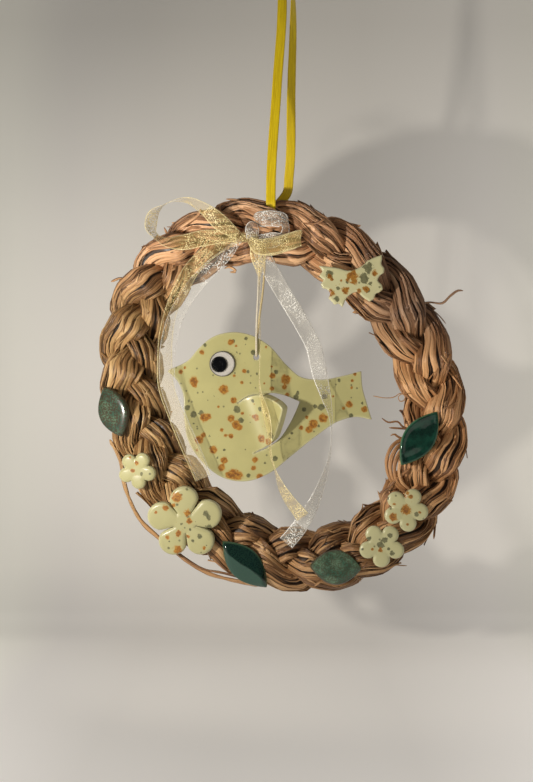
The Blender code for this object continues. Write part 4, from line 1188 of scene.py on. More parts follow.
@dataclass
class LooseStems:
    """Stems, curls and broken ends that have worked out of the plait."""

    ring: PlaitedRing
    seed: int = 92
    sides: int = 6
    spacing: float = 0.0016
    end_length: float = 0.002
    thickest: float = 0.0006
    waver: tuple = (0.03, 0.2)

    # Short broken ends: how many, then least and most of their length in phase, their turn, their rise
    # off the strand and half their thickness in millimetres
    stubs: int = 90
    stub_length: tuple = (0.15, 0.75)
    stub_turn: tuple = (-0.9, 0.9)
    stub_rise: tuple = (0.10, 0.55)
    stub_half: tuple = (0.25, 0.75)
    stub_root: float = 0.94

    # Each stem: half its thickness, then rows of right, behind and above the ring's middle, in millimetres
    routes: tuple = (
        (1.25, ((-109, -7, -28), (-102, -7, -42), (-100, -7, -55), (-96, -7, -67), (-89, -7, -79.5),
                (-79, -7, -89), (-70, -7, -97), (-59, -7, -105), (-47, -7, -112), (-35, -7, -115.5),
                (-23, -7, -118), (-15, -7, -119.5))),
        (0.8, ((-67, -10, -98), (-59, -10, -104), (-51, -10, -108.5), (-39, -10, -111), (-29, -10, -113.5),
               (-20.5, -10, -116.5))),
        (0.7, ((84, -8, 57), (92, -8, 58), (99.5, -8, 57.5), (105, -8, 62.5), (110, -8, 65.5),
               (112.5, -8, 65.3))),
        (0.6, ((82, -8, -22), (74, -9, -19.5), (72, -9, -17), (65, -9, -17), (61.5, -9, -14.5))),
        (0.6, ((82, -8, -21.5), (73.5, -9, -21), (66, -9, -20.5))),
        (0.7, ((80, -8, -27.5), (72, -9, -26.5), (69, -9, -24.5), (67, -9, -25.5))),
        (1.1, ((80, -8, -26), (69, -9, -31), (65, -9, -38), (64.6, -8, -46), (67, -8, -53), (76, -7, -60))),
        (1.3, ((82, -7, -27), (71, -10, -33), (67, -10, -41), (67.4, -10, -50), (73, -9, -58),
               (80, -8, -62))),
        (1.2, ((83, -6, -28), (73, -11, -35), (69.4, -11, -43), (70, -11, -52), (77, -9, -60))),
        (1.1, ((84, -5, -30), (75, -12, -38), (72, -12, -46), (73.5, -12, -54), (80, -10, -60))),
        (1, ((60, -8, -62), (65, -9, -58.5), (71, -11, -52), (79, -12, -46))),
        (0.3, ((56, -8, -0.6), (64, -8, -1.9), (69.5, -8, -1.3), (73, -8, 0.9), (76, -8, -0.5),
               (75.5, -8, -3.5), (72.5, -8, -3.8), (72, -8, -1), (78, -8, 1), (84, -8, 0))),
        (1, ((-64.7, -12, 104), (-58, -13, 108.5), (-52.4, -12, 113.2), (-51.6, -12, 116))),
        (0.9, ((-108, -8, 71), (-101, -8, 73), (-98, -8, 70))),
        (0.8, ((-115, -8, 37.5), (-110, -8, 39.5), (-106, -8, 39))),
        (0.8, ((-37, -10, 79), (-34, -10, 80), (-29.7, -10, 77), (-33.5, -10, 76.8))),
    )

    def stem(self, skin: Skin, half: float, rows: Sequence[Point], rng: np.random.Generator) -> None:
        """Add one stem.

        Args:
            skin: The stems' skin.
            half: Half its thickness in millimetres.
            rows: Its route in millimetres about the ring's middle.
            rng: Source of the random draws.
        """
        route = np.array(rows, float) * MM + np.array(self.ring.middle)
        path = resample(smooth_path(route, 8), self.spacing, closed=False)
        metres = np.linspace(0.0, path_length(path), len(path))
        ahead = unit(np.gradient(path, axis=0))
        side = unit(np.cross(ahead, [0.0, 1.0, 0.0]))
        normal = np.cross(side, ahead)
        turn = angles(self.sides)
        size = half * MM * (1.0 + wavering(rng, metres, *self.waver))
        size = size * np.clip(np.minimum(metres, metres[-1] - metres) / self.end_length, 0.35, 1.0)
        thick = np.minimum(0.7 * size, self.thickest)
        rings = rings_along(path, side, normal, size[:, None] * np.cos(turn), thick[:, None] * np.sin(turn))
        shade = {"tone": np.array(rng.uniform(0.1, 0.9)), "openness": np.array(1.0)}
        skin.sweep(rings, {"along": metres[:, None], "across": np.cos(turn)[None, :]} | shade)

    def stub(self, skin: Skin, rng: np.random.Generator) -> None:
        """Add a short broken end that stands a little off a strand.

        Args:
            skin: The stems' skin.
            rng: Source of the random draws.
        """
        run = np.linspace(0.0, 1.0, 5)
        phase = rng.uniform(0.0, 44.0) + run * rng.uniform(*self.stub_length) * rng.choice([-1.0, 1.0])
        around = rng.uniform(0.0, 6.28) + run * rng.uniform(*self.stub_turn)
        share = self.stub_root + run**1.5 * rng.uniform(*self.stub_rise)
        rows = self.ring.on_strand(int(rng.integers(self.ring.strands)), phase, around, share)
        self.stem(skin, rng.uniform(*self.stub_half), (rows - np.array(self.ring.middle)) / MM, rng)

    def build(self, material: bpy.types.Material) -> None:
        """Make the loose stems as one piece.

        Args:
            material: The grass.
        """
        rng = np.random.default_rng(self.seed)
        skin = Skin()
        for half, rows in self.routes:
            self.stem(skin, half, rows, rng)
        for _ in range(self.stubs):
            self.stub(skin, rng)
        put_in_scene(skin, "loose_stems", material)


# Ceramic plates


def edges_of(loops: Sequence[Array]) -> tuple[Array, Array]:
    """Start and end points of every side of closed loops.

    Args:
        loops: Each loop's points.

    Returns:
        The sides' starts and their ends.
    """
    starts = np.vstack(loops)
    ends = np.vstack([np.roll(loop, -1, axis=0) for loop in loops])
    return starts, ends


def distance_to(loops: Sequence[Array], points: Array) -> Array:
    """Distance from points to the nearest side of closed loops.

    Args:
        loops: Each loop's points.
        points: The points to measure.

    Returns:
        One distance to a point.
    """
    starts, ends = edges_of(loops)
    nearest = np.full(len(points), 1e9)
    way = ends - starts
    size = np.maximum((way**2).sum(axis=1), 1e-18)
    for block in range(0, len(points), 2000):
        part = points[block : block + 2000]
        gap = part[:, None, :] - starts[None]
        t = np.clip((gap * way[None]).sum(axis=2) / size, 0.0, 1.0)
        off = gap - t[..., None] * way[None]
        nearest[block : block + 2000] = np.sqrt((off**2).sum(axis=2).min(axis=1))
    return nearest


def inside(loops: Sequence[Array], points: Array) -> Array:
    """Which points are within closed loops, where a loop in a loop is a hole.

    Args:
        loops: Each loop's points.
        points: The points to ask about.

    Returns:
        True for each point that is within.
    """
    starts, ends = edges_of(loops)
    within = np.zeros(len(points), bool)
    for block in range(0, len(points), 4000):
        x = points[block : block + 4000, 0][:, None]
        y = points[block : block + 4000, 1][:, None]
        spans = (starts[:, 1] > y) != (ends[:, 1] > y)
        rise = ends[:, 1] - starts[:, 1]
        rise = np.where(np.abs(rise) < 1e-15, 1e-15, rise)
        cross = starts[:, 0] + (y - starts[:, 1]) / rise * (ends[:, 0] - starts[:, 0])
        within[block : block + 4000] = (spans & (x < cross)).sum(axis=1) % 2 == 1
    return within


@dataclass
class Plate:
    """A flat-backed or two-faced plate with rounded edges, made about its own flat middle.

    Its front is +Z. The loops are its outline and its holes, in metres.
    """

    loops: list[Array]
    thickness: float
    rounding: float
    spacing: float = 0.0013
    steps: tuple[float, ...] = (0.06, 0.22, 0.5, 1.0)

    def flat_points(self) -> tuple[Array, list[tuple[int, int]], list[Array]]:
        """Scatter points over the plate: its edges, rows along them and a grid between.

        Returns:
            The points, the index pairs of the edges, and the resampled loops.
        """
        loops = [resample(loop, self.spacing * 0.8, closed=True) for loop in self.loops]
        points = [np.vstack(loops)]
        pairs = []
        start = 0
        for loop in loops:
            count = len(loop)
            pairs += [(start + i, start + (i + 1) % count) for i in range(count)]
            start += count
        for loop in loops:
            side = np.roll(loop, -1, axis=0) - np.roll(loop, 1, axis=0)
            normal = unit(np.stack([-side[:, 1], side[:, 0]], axis=1))
            sign = np.where(inside(loops, loop + normal * self.spacing * 0.1), 1.0, -1.0)
            for step in self.steps:
                reach = step * self.rounding
                row = loop + normal * (sign * reach)[:, None]
                row = row[:: 1 if step < 0.4 else 2] if reach < self.spacing * 0.5 else row
                keep = inside(loops, row) & (distance_to(loops, row) > 0.93 * reach)
                points.append(row[keep])
        whole = np.vstack(loops)
        low, high = whole.min(axis=0), whole.max(axis=0)
        rows = np.arange(low[1], high[1], self.spacing * 0.87)
        columns = np.arange(low[0], high[0], self.spacing)
        across, up = np.meshgrid(columns, rows)
        across = across + (np.arange(len(rows)) % 2)[:, None] * self.spacing / 2.0
        grid = np.stack([across.ravel(), up.ravel()], axis=1)
        grid = grid[inside(loops, grid)]
        grid = grid[distance_to(loops, grid) > self.rounding + 0.45 * self.spacing]
        points.append(grid)
        return np.vstack(points), pairs, loops

    def skin(
        self, front: Callable[[Array, Array], Array], back: Callable[[Array, Array], Array],
        marks: Callable[[Array, Array], dict[str, Array]],
    ) -> Skin:
        """Give the plate its two faces and its edge.

        Args:
            front: Rise of the front above half the thickness, from points and distances inward.
            back: The same for the back, downward.
            marks: Values for the material, from points and distances inward.

        Returns:
            The plate as one closed body.
        """
        points, pairs, loops = self.flat_points()
        made = delaunay_2d_cdt([Vector(p) for p in points], pairs, [], 0, 1e-7)
        flat = np.array([tuple(v) for v in made[0]])
        faces = np.array([f for f in made[2] if len(f) == 3])
        middle = flat[faces].mean(axis=1)
        faces = faces[inside(loops, middle)]
        used = np.unique(faces)
        remap = np.full(len(flat), -1)
        remap[used] = np.arange(len(used))
        flat, faces = flat[used], remap[faces]
        inward = distance_to(loops, flat)
        soft = 1.0 - np.clip(inward / self.rounding, 0.0, 1.0)
        edge = self.thickness / 2.0 - self.rounding * (1.0 - np.sqrt(np.clip(1.0 - soft**2, 0.0, 1.0)))
        top = np.column_stack([flat, edge + front(flat, inward)])
        bottom = np.column_stack([flat, -edge - back(flat, inward)])
        count = len(flat)
        sides = np.sort(np.vstack([faces[:, [0, 1]], faces[:, [1, 2]], faces[:, [2, 0]]]), axis=1)
        forward = np.vstack([faces[:, [0, 1]], faces[:, [1, 2]], faces[:, [2, 0]]])
        _, first, counts = np.unique(sides, axis=0, return_index=True, return_counts=True)
        rim = forward[first[counts == 1]]
        walls = np.column_stack([rim[:, 1], rim[:, 0], rim[:, 0] + count, rim[:, 1] + count])
        values = {name: np.concatenate([v, v]) for name, v in marks(flat, inward).items()}
        skin = Skin()
        skin.add(np.vstack([top, bottom]), [faces, faces[:, ::-1] + count, walls], values)
        return skin


def spot_field(points: Array, spots: Sequence[tuple[float, float, float]], scale: float = MM) -> Array:
    """How deep in its nearest spot each point lies: 1 at a spot's middle, 0 at its edge.

    Args:
        points: Flat points in metres.
        spots: Rows of right, up and radius.
        scale: Metres to one unit of the rows.

    Returns:
        One value to a point, no lower than -2.
    """
    depth = np.full(len(points), -2.0)
    for x, y, radius in spots:
        gap = np.hypot(points[:, 0] - x * scale, points[:, 1] - y * scale)
        depth = np.maximum(depth, 1.0 - gap / (radius * scale))
    return depth


def level(points: Array, inward: Array) -> Array:
    """No rise anywhere."""
    return np.zeros(len(points))


class Spotted:
    """A piece whose glaze carries warm and green spots, and runs thin at its rim."""

    thin_rim: float = 0.0013

    def marks(self, points: Array, inward: Array) -> dict[str, Array]:
        """Spot fields for the glaze."""
        warm, green = spot_field(points, self.warm_spots), spot_field(points, self.green_spots)
        return {"warm": warm, "green": green, "inward": np.clip(inward / self.thin_rim, 0.0, 1.0)}


@dataclass
class Seat:
    """How a flat piece is glued on the ring: its turn and its leans, in degrees."""

    turn: float = 0.0
    lean_out: float = 0.0
    lean_side: float = 0.0
    toward: float = 0.0

    def matrix(self) -> Array:
        """Rotation from the flat piece to the standing one.

        Returns:
            A square of three rows.
        """
        turn, out, side, toward = (
            math.radians(a) for a in (self.turn, self.lean_out, self.lean_side, self.toward)
        )
        upright = Matrix.Rotation(math.radians(90.0), 3, "X")
        spin = Matrix.Rotation(-turn, 3, "Y")
        away = Vector((math.sin(toward), 0.0, math.cos(toward)))
        along = Vector((math.cos(toward), 0.0, -math.sin(toward)))
        tip_out = Matrix.Rotation(-out, 3, along)
        tip_side = Matrix.Rotation(side, 3, away)
        return np.array(tip_side @ tip_out @ spin @ upright)

    def glue(self, skin: Skin, node: str, material: bpy.types.Material, slot: str) -> None:
        """Turn a flat skin upright, set it where its node is and put it in the scene.

        Args:
            skin: The flat piece, facing up.
            node: The CAD node whose place it takes.
            material: Its glaze.
            slot: The record's material slot; not used.
        """
        turned = [block @ self.matrix().T for block in skin.corners]
        whole = np.vstack(turned)
        low, high = node_box(node)
        middle = (whole.min(axis=0) + whole.max(axis=0)) / 2.0
        skin.corners = [block + (low + high) / 2.0 - middle for block in turned]
        put_in_scene(skin, f"{node}_glazed", material, [node])


@dataclass
class Bird(Spotted):
    """The flat ceramic bird, with a hole for its cord and a wing cut loose and bent forward."""

    place: Point = (-0.0193, -0.0050, -0.25212)
    thickness: float = 0.0050
    rounding: float = 0.0006
    hole_radius: float = 0.0019
    hole_sides: int = 24
    kerf: float = 0.0003
    bend_radius: float = 0.020
    bend_angle: float = math.radians(50.0)
    bend_line: tuple[float, float] = (0.94, 0.34)
    bend_start: float = -0.0197
    outline_spans: int = 10
    wing_spans: int = 8
    spacing: float = 0.0012

    outline: tuple = (
        ((-55.8, -9), (-53.4, -7.4), (-50, -6), (-43.2, -2.4), (-35.7, 5.9), (-27.5, 12.5), (-15, 15.6),
         (-2, 13.2), (8, 7.1), (18.9, -5), (27.5, -12.3), (40, -14.2), (54.9, -11.7), (65.8, -8.8)),
        ((65.8, -8.8), (66.5, -18.9), (69.2, -28.9), (72.4, -39.4)),
        ((72.4, -39.4), (62, -37.7), (52, -40.2), (38.2, -49.1), (21.4, -62.5), (8, -73), (-6, -78),
         (-20, -76.2), (-34, -65.9), (-42.8, -52.5), (-45.5, -37), (-46.3, -22.5), (-50, -14.5),
         (-55.8, -9)),
    )
    wing_cut: tuple = (
        ((-11.8, -28.9), (-6.5, -25.4), (0.5, -23.2), (8.8, -22.5), (17.2, -24), (27.2, -28.1)),
        ((27.2, -28.1), (24.7, -34.2), (19.7, -44), (14.7, -51.2), (8, -56.2), (-2.1, -60.8)),
    )
    wing: tuple = (
        (-11.8, -28.9), (-6.5, -25.4), (0.5, -23.2), (8.8, -22.5), (17.2, -24.2), (23.2, -26.8),
        (25.3, -28.9), (24.6, -31.6), (22.9, -35.2), (18.6, -43.4), (14, -50.6), (7.7, -55.8), (-2.1, -60.8),
    )
    warm_spots: tuple = (
        (-16.2, 9.2, 1.9), (-34.2, 2.9, 1.6), (-47.5, -9.3, 1.5), (-44.8, -6.7, 0.9), (-39.2, -15.1, 2.7),
        (-38.8, -17.6, 1.7), (-20.6, -20.4, 2.9), (-14.3, -27.1, 2), (-32.6, -38, 2.6), (-30, -37.4, 1.8),
        (-36.1, -51.9, 2.6), (-33.3, -49, 1.6), (-26.9, -58.2, 2.4), (-20.2, -64.9, 2.2),
        (-21.8, -69.3, 2.3), (-14.6, -73.5, 3.2), (-11.4, -74.4, 2.8), (-17.2, -74, 2.2), (-0.9, -64.4, 1.8),
        (-1.7, -69.7, 1.5), (1.9, -75, 2), (-16, -38.6, 2.2), (-12.9, -42.4, 2.7), (-10.6, -44.2, 1.9),
        (0.8, -37.5, 2.1), (-1.4, -37.2, 1.2), (3.9, -50.8, 2.5), (9.2, -52.5, 2.2), (-7.6, -8.8, 1.4),
        (-9.2, -16.1, 1.2), (-14, -11.8, 1), (10.1, -11.8, 1.8), (18.5, -14.3, 3), (17.6, -18.9, 1.6),
        (9.7, -19.9, 1.4), (19.3, -23.8, 1.4), (31.5, -37.8, 1.1), (35.7, -42, 2.8), (33.2, -45.4, 2.3),
        (28.1, -44.4, 1.4), (41.8, -38.4, 2.8), (58.2, -29.8, 2.2), (54.6, -32.2, 1.1), (59.6, -19.3, 1),
        (60, -14.9, 1.1), (61.7, -10.9, 1.1), (67.6, -32.8, 1.9), (48.1, -24.5, 0.8), (-12.6, 6.9, 0.9),
        (5, -16.8, 0.8), (-23.8, -31.3, 0.9), (-21.8, -45.8, 1.2), (-19.3, -49.3, 1.1), (-16, -49.6, 1.5),
        (-37.4, -58.5, 0.9), (-8.8, -35.3, 1.1), (6.1, 6.1, 0.9), (0.2, -29, 0.6), (9.6, -6.1, 0.8),
    )
    green_spots: tuple = (
        (-14.8, 9.9, 1.4), (-32.2, 7.4, 1.3), (-6.5, 11.6, 1.3), (-2.1, 2.9, 1.7), (-43.3, -31.7, 1.9),
        (-42.4, -27.6, 0.9), (-39.5, -36, 2.2), (-34.6, -35.1, 1.8), (-39.2, -41.8, 0.9), (-0.9, -27.1, 1.3),
        (0.2, -10.7, 1), (-12.2, 2.9, 0.8), (24.9, -25.2, 1.9), (26, -22.3, 1.2), (36.9, -31.1, 1.5),
        (40.7, -31.5, 2.2), (42.8, -24.8, 1.9), (59.4, -36.7, 1.6), (51.8, -14.7, 1.2), (66.3, -28.8, 0.9),
        (29.8, -33, 1.6), (11.7, -63.8, 1.9), (-5, -74.3, 1.4), (5.4, -66.4, 0.9), (-24.4, -63.2, 1),
        (-20.2, -58.4, 1), (-29.4, -49.6, 0.9), (20.6, -51.2, 0.8), (22.2, -47.9, 1), (39, -43.3, 1.1),
        (10.1, -35.3, 1.2), (4.6, -31.9, 1.7), (11.7, -47.9, 2.3), (-9.7, -39.9, 2.1), (-12.2, -33, 2.3),
        (-5.3, -9.3, 1.2), (12.3, -9.5, 1.5), (-28.1, -57.1, 1.5), (-26.5, -24.3, 0.7), (-20.6, -22.8, 0.9),
    )

    def loops(self) -> list[Array]:
        """Outline, cord hole and the slot round the wing, in metres.

        Returns:
            Each loop's points.
        """
        edge = flat_outline(self.outline, self.outline_spans)
        hole = on_circle(angles(self.hole_sides)) * self.hole_radius
        outer = flat_outline(self.wing_cut, self.wing_spans)
        last = np.array(self.wing_cut[-1][-1:]) * MM
        line = flat_curve(self.wing, self.wing_spans)
        side = unit(np.gradient(line, axis=0))
        inward = np.stack([side[:, 1], -side[:, 0]], axis=1)
        inner = line + inward * self.kerf
        return [edge, hole, np.vstack([outer, last, inner[::-1][2:-2]])]

    def bend(self, corners: Array) -> Array:
        """Curl the wing forward beyond its bend line.

        Args:
            corners: The flat bird's corners.

        Returns:
            The corners with those of the wing bent.
        """
        region = flat_curve(self.wing, self.wing_spans)
        away = unit(np.array(self.bend_line))
        distance = corners[:, :2] @ away - self.bend_start
        moved = inside([region], corners[:, :2]) & (distance > 0.0)
        arc = self.bend_radius * self.bend_angle
        angle = np.minimum(distance / self.bend_radius, self.bend_angle)
        straight = np.maximum(distance - arc, 0.0)
        reach = self.bend_radius * np.sin(angle) + straight * np.cos(angle)
        lift = self.bend_radius * (1.0 - np.cos(angle)) + straight * np.sin(angle)
        height = corners[:, 2]
        shift = reach - distance - height * np.sin(angle)
        bent = corners.copy()
        bent[moved, :2] += (away[None, :] * shift[:, None])[moved]
        bent[moved, 2] = (lift + height * np.cos(angle))[moved]
        return bent

    def build(self, material: bpy.types.Material) -> None:
        """Make the bird.

        Args:
            material: Its glaze.
        """
        plate = Plate(self.loops(), self.thickness, self.rounding, spacing=self.spacing)
        skin = plate.skin(level, level, self.marks)
        bent = self.bend(skin.corners[0])
        standing = np.stack([bent[:, 0], -bent[:, 2], bent[:, 1]], axis=1)
        skin.corners = [standing + np.array(self.place)]
        put_in_scene(skin, "bird_ceramic", material, ["bird"])


@dataclass
class Eye:
    """The bird's glued eye: a white backing, a loose black pupil and a clear dome."""

    radius: float = 0.0080
    rise: float = 0.0042
    wall: float = 0.0006
    pupil_radius: float = 0.0050
    pinhole: float = 0.00002
    rim_shade_width: float = 0.0007
    lip: float = 0.0009
    soft_share: float = 0.35
    steepness: float = 0.45
    sides: int = 64

    def turned(self, profile: Sequence[tuple[float, float]], middle: Array) -> Skin:
        """Turn a closed profile about the eye's axis.

        Args:
            profile: Points of radius and distance towards the viewer, round the section.
            middle: The point on the axis that they are about.

        Returns:
            The body.
        """
        turn = angles(self.sides)
        rows = np.array(profile)
        x = rows[None, :, 0] * np.cos(turn)[:, None]
        z = rows[None, :, 0] * np.sin(turn)[:, None]
        y = -np.broadcast_to(rows[None, :, 1], x.shape)
        skin = Skin()
        # The outermost band is marked for the plastic's painted shade at the rim.
        rim = np.broadcast_to(rows[None, :, 0] > rows[:, 0].max() - self.rim_shade_width, x.shape)
        skin.sweep(np.stack([x, y, z], axis=-1) + middle, {"rim": rim.astype(float)}, closed=True)
        return skin

    def disc(self, radius: float, thickness: float) -> list[tuple[float, float]]:
        """Profile of a disc with softened edges, and with a pinhole too small to see.

        Args:
            radius: The disc's radius.
            thickness: Its thickness.

        Returns:
            Rows of radius and distance towards the viewer.
        """
        soft = thickness * self.soft_share
        return [
            (self.pinhole, 0), (radius - soft, 0), (radius, soft), (radius, thickness - soft),
            (radius - soft, thickness), (radius - self.lip, thickness), (self.pinhole, thickness),
        ]

    def swell(self, radius: float, rise: float) -> list[tuple[float, float]]:
        """Profile of a steep-sided dome, from its edge to its top.

        Args:
            radius: The dome's radius.
            rise: Its height.

        Returns:
            Rows of radius and distance towards the viewer.
        """
        climb = np.linspace(0.0, math.pi / 2.0, 14)[:-1]
        side = [(radius * math.cos(a) ** self.steepness, rise * math.sin(a)) for a in climb]
        return side + [(self.pinhole, rise)]

    @staticmethod
    def seat(node: str) -> tuple[Array, float]:
        """Middle of the back of a CAD node's box, and the box's thickness."""
        low, high = node_box(node)
        return np.array([(low[0] + high[0]) / 2.0, high[1], (low[2] + high[2]) / 2.0]), high[1] - low[1]

    def build(self, white: bpy.types.Material, black: bpy.types.Material, clear: bpy.types.Material) -> None:
        """Make the three parts of the eye.

        Args:
            white: The backing's plastic.
            black: The pupil's.
            clear: The dome's.
        """
        for node, name, radius, finish, slot in (
            ("eye_backing", "eye_white", self.radius, white, "white_plastic"),
            ("eye_pupil", "eye_black", self.pupil_radius, black, "black_plastic"),
        ):
            middle, thickness = self.seat(node)
            disc = self.turned(self.disc(radius, thickness), middle)
            put_in_scene(disc, name, finish, [node], crease=30.0)
        inner = self.swell(self.radius - self.wall, self.rise - self.wall)
        dome = self.turned(self.swell(self.radius, self.rise) + inner[::-1], self.seat("eye_cover")[0])
        put_in_scene(dome, "eye_dome", clear, ["eye_cover"])


@dataclass
class Flower(Spotted):
    """A five-petal flower with a flat back and petals that swell round a lower middle."""

    name: str
    seat: Seat
    petal_radius: float
    petal_reach: float
    thickness: float
    first_angle: float
    rounding: float
    slit: float
    swell: float
    warm_spots: tuple = ()
    green_spots: tuple = ()
    petals: int = 5
    slit_width: float = 0.035
    spacing: float = 0.0005

    def centres(self) -> Array:
        """Middles of the petals."""
        turn = math.radians(self.first_angle) + np.arange(self.petals) * 2.0 * math.pi / self.petals
        return on_circle(turn) * self.petal_reach

    def outline(self) -> Array:
        """The flower's edge.

        Returns:
            Flat points round it.
        """
        turn = angles(900)
        spacing = TURN / self.petals
        gap = (turn - math.radians(self.first_angle) + spacing / 2.0) % spacing - spacing / 2.0
        aside = self.petal_reach * np.sin(gap)
        reach = self.petal_reach * np.cos(gap) + np.sqrt(self.petal_radius**2 - aside**2)
        notch = 1.0 - self.slit * np.exp(-((np.abs(gap) - spacing / 2.0) / self.slit_width) ** 2)
        uneven = 1.0 + 0.02 * np.sin(turn * 2.0 + 1.3) + 0.015 * np.sin(turn * 3.0 + self.first_angle)
        return on_circle(turn) * (reach * notch * uneven)[:, None]

    def rise(self, points: Array, inward: Array) -> Array:
        """Swell of the front: a slight cushion to each petal.

        Args:
            points: Flat points.
            inward: Their distances from the edge.

        Returns:
            One rise to a point.
        """
        gaps = np.linalg.norm(points[:, None, :] - self.centres()[None], axis=2) / self.petal_radius
        cushion = (1.0 - np.clip(gaps, 0.0, 1.0) ** 2).max(axis=1)
        return self.swell * cushion * np.clip(inward / self.rounding, 0.0, 1.0)

    def build(self, material: bpy.types.Material) -> None:
        """Make the flower."""
        plate = Plate([self.outline()], self.thickness - self.swell, self.rounding, spacing=self.spacing)
        self.seat.glue(plate.skin(self.rise, level, self.marks), self.name, material, PALE_SLOT)


class LeafForm(Enum):
    """How a leaf's front is shaped."""

    CROWNED = "crowned"
    DISHED = "dished"
    KEELED = "keeled"


@dataclass
class Leaf:
    """A thick pointed leaf, along X before it is seated."""

    name: str
    seat: Seat
    form: LeafForm
    length: float
    width: float
    bluntness: float
    slot: str
    thickness: float = 0.0048
    spacing: float = 0.0007
    thin_rim: float = 0.0016

    # Shares of the thickness: the plate's edge, a crown, a dish's rim and its billows, a keel, a hollow
    edge_share: float = 0.55
    crown_share: float = 0.34
    rim_share: float = 0.16
    billow_share: float = 0.05
    keel_share: float = 0.78
    hollow_share: float = 0.25

    def outline(self) -> Array:
        """The leaf's edge.

        Returns:
            Flat points round it.
        """
        t = np.linspace(0.004, 0.996, 90)
        half = self.width / 2.0 * np.sin(math.pi * t) ** self.bluntness
        x = self.length * (t - 0.5)
        return np.vstack([np.stack([x, -half], axis=1), np.stack([x, half], axis=1)[::-1]])

    def off_ridge(self, points: Array) -> Array:
        """Distance from the leaf's curved midrib, as a share of its half width."""
        return points[:, 1] / (self.width / 2.0) - 0.22 * np.sin(points[:, 0] / self.length * 5.0)

    def rise(self, points: Array, inward: Array) -> Array:
        """Shape of the front above its rim.

        Args:
            points: Flat points.
            inward: Their distances from the edge.

        Returns:
            One rise to a point.
        """
        half = self.width / 2.0
        depth = np.clip(inward / (0.8 * half), 0.0, 1.0)
        if self.form is LeafForm.CROWNED:
            fall = 1.0 - np.minimum(depth * 1.8, 1.0)
            return self.thickness * self.crown_share * np.sqrt(np.clip(1.0 - fall**2, 0.0, 1.0))
        if self.form is LeafForm.DISHED:
            rim = self.thickness * self.rim_share * np.exp(-(((depth - 0.16) / 0.14) ** 2))
            waves = np.sin(points[:, 0] * 230.0 + points[:, 1] * 120.0)
            return rim + self.billow_share * self.thickness * waves * depth
        ridge = np.clip(1.0 - np.abs(self.off_ridge(points)) * 0.9, 0.0, 1.0) ** 1.15
        return self.thickness * self.keel_share * ridge * np.clip(inward / (0.30 * half), 0.0, 1.0) ** 0.7

    def back(self, points: Array, inward: Array) -> Array:
        """Shape of the back, hollowed a little under a keeled front."""
        hollow = self.hollow_share if self.form is LeafForm.KEELED else 0.0
        return -self.thickness * hollow * np.clip(inward / (0.4 * self.width), 0.0, 1.0)

    def marks(self, points: Array, inward: Array) -> dict[str, Array]:
        """How far inward each place is, and 1 or -1 for its side of the ridge, which the glaze lightens on
        the lower side as painted light.
        """
        lower = np.clip(0.5 - self.off_ridge(points) * 6.0, 0.0, 1.0) * 2.0 - 1.0
        return {"inward": np.clip(inward / self.thin_rim, 0.0, 1.0), "facet": lower}

    def build(self, material: bpy.types.Material) -> None:
        """Make the leaf.

        Args:
            material: Its glaze.
        """
        edge = self.thickness * self.edge_share
        plate = Plate([self.outline()], edge, edge * 0.45, spacing=self.spacing)
        self.seat.glue(plate.skin(self.rise, self.back, self.marks), self.name, material, self.slot)


@dataclass
class Butterfly(Spotted):
    """A flat scalloped butterfly cut from clay."""

    seat: Seat = field(default_factory=lambda: Seat(toward=31.2))
    thickness: float = 0.0036
    rounding: float = 0.0011
    spacing: float = 0.0006
    spans: int = 6
    runs: tuple = (
        ((-20.5, 9.8), (-13.8, 9.2), (-8, 8.3), (-2.7, 6.9), (4.4, 8.7), (10.7, 13.6), (18.3, 16.6)),
        ((18.3, 16.6), (18.4, 13.8), (18, 11), (19.8, 8), (19.6, 5.5)),
        ((19.6, 5.5), (16.6, 3), (15.9, 0.7), (18.2, -1.8), (19, -4.8)),
        ((19, -4.8), (17.2, -6.4), (14.6, -7.6), (13.4, -10.6), (10.7, -12.3)),
        ((10.7, -12.3), (6.4, -9.4), (2.8, -6.4), (-1.4, -8.2), (-3.5, -10.3), (-5.9, -15.9)),
        ((-5.9, -15.9), (-8.6, -13.6), (-10.6, -14.2), (-12.6, -12.2), (-14.6, -10.3)),
        ((-14.6, -10.3), (-13.6, -7.4), (-15.4, -4.8), (-18, -4), (-19.4, -1.6)),
        ((-19.4, -1.6), (-17.8, 1), (-20.2, 3.6), (-18.4, 6.4), (-20.5, 9.8)),
    )
    warm_spots: tuple = (
        (-0.1, 3.4, 3.6), (1.4, 0.2, 1.9), (-12.6, 1.2, 0.9), (-6.8, 0.6, 0.8), (-17.6, -6.6, 1.7),
        (-13.1, -7.2, 2), (-4.4, -5.5, 2), (4.3, -6.2, 1.5), (8.3, -4.8, 1.9), (14, 5.2, 1.7),
        (-14.1, 3.2, 1.3),
    )
    green_spots: tuple = (
        (-13.8, 4.6, 2.4), (-8.8, -4, 1.2), (-3.2, -0.6, 1), (9.6, 8.6, 3.2), (7.3, 1.9, 3.1),
        (-9.4, -10.9, 1.7), (11.3, -1.1, 1.5), (9.3, -5.5, 1.7),
    )

    def build(self, material: bpy.types.Material) -> None:
        """Make the butterfly.

        Args:
            material: Its glaze.
        """
        edge = flat_outline(self.runs, self.spans)
        plate = Plate([edge], self.thickness, self.rounding, spacing=self.spacing)
        self.seat.glue(plate.skin(level, level, self.marks), "butterfly", material, PALE_SLOT)


# Ribbons and cord


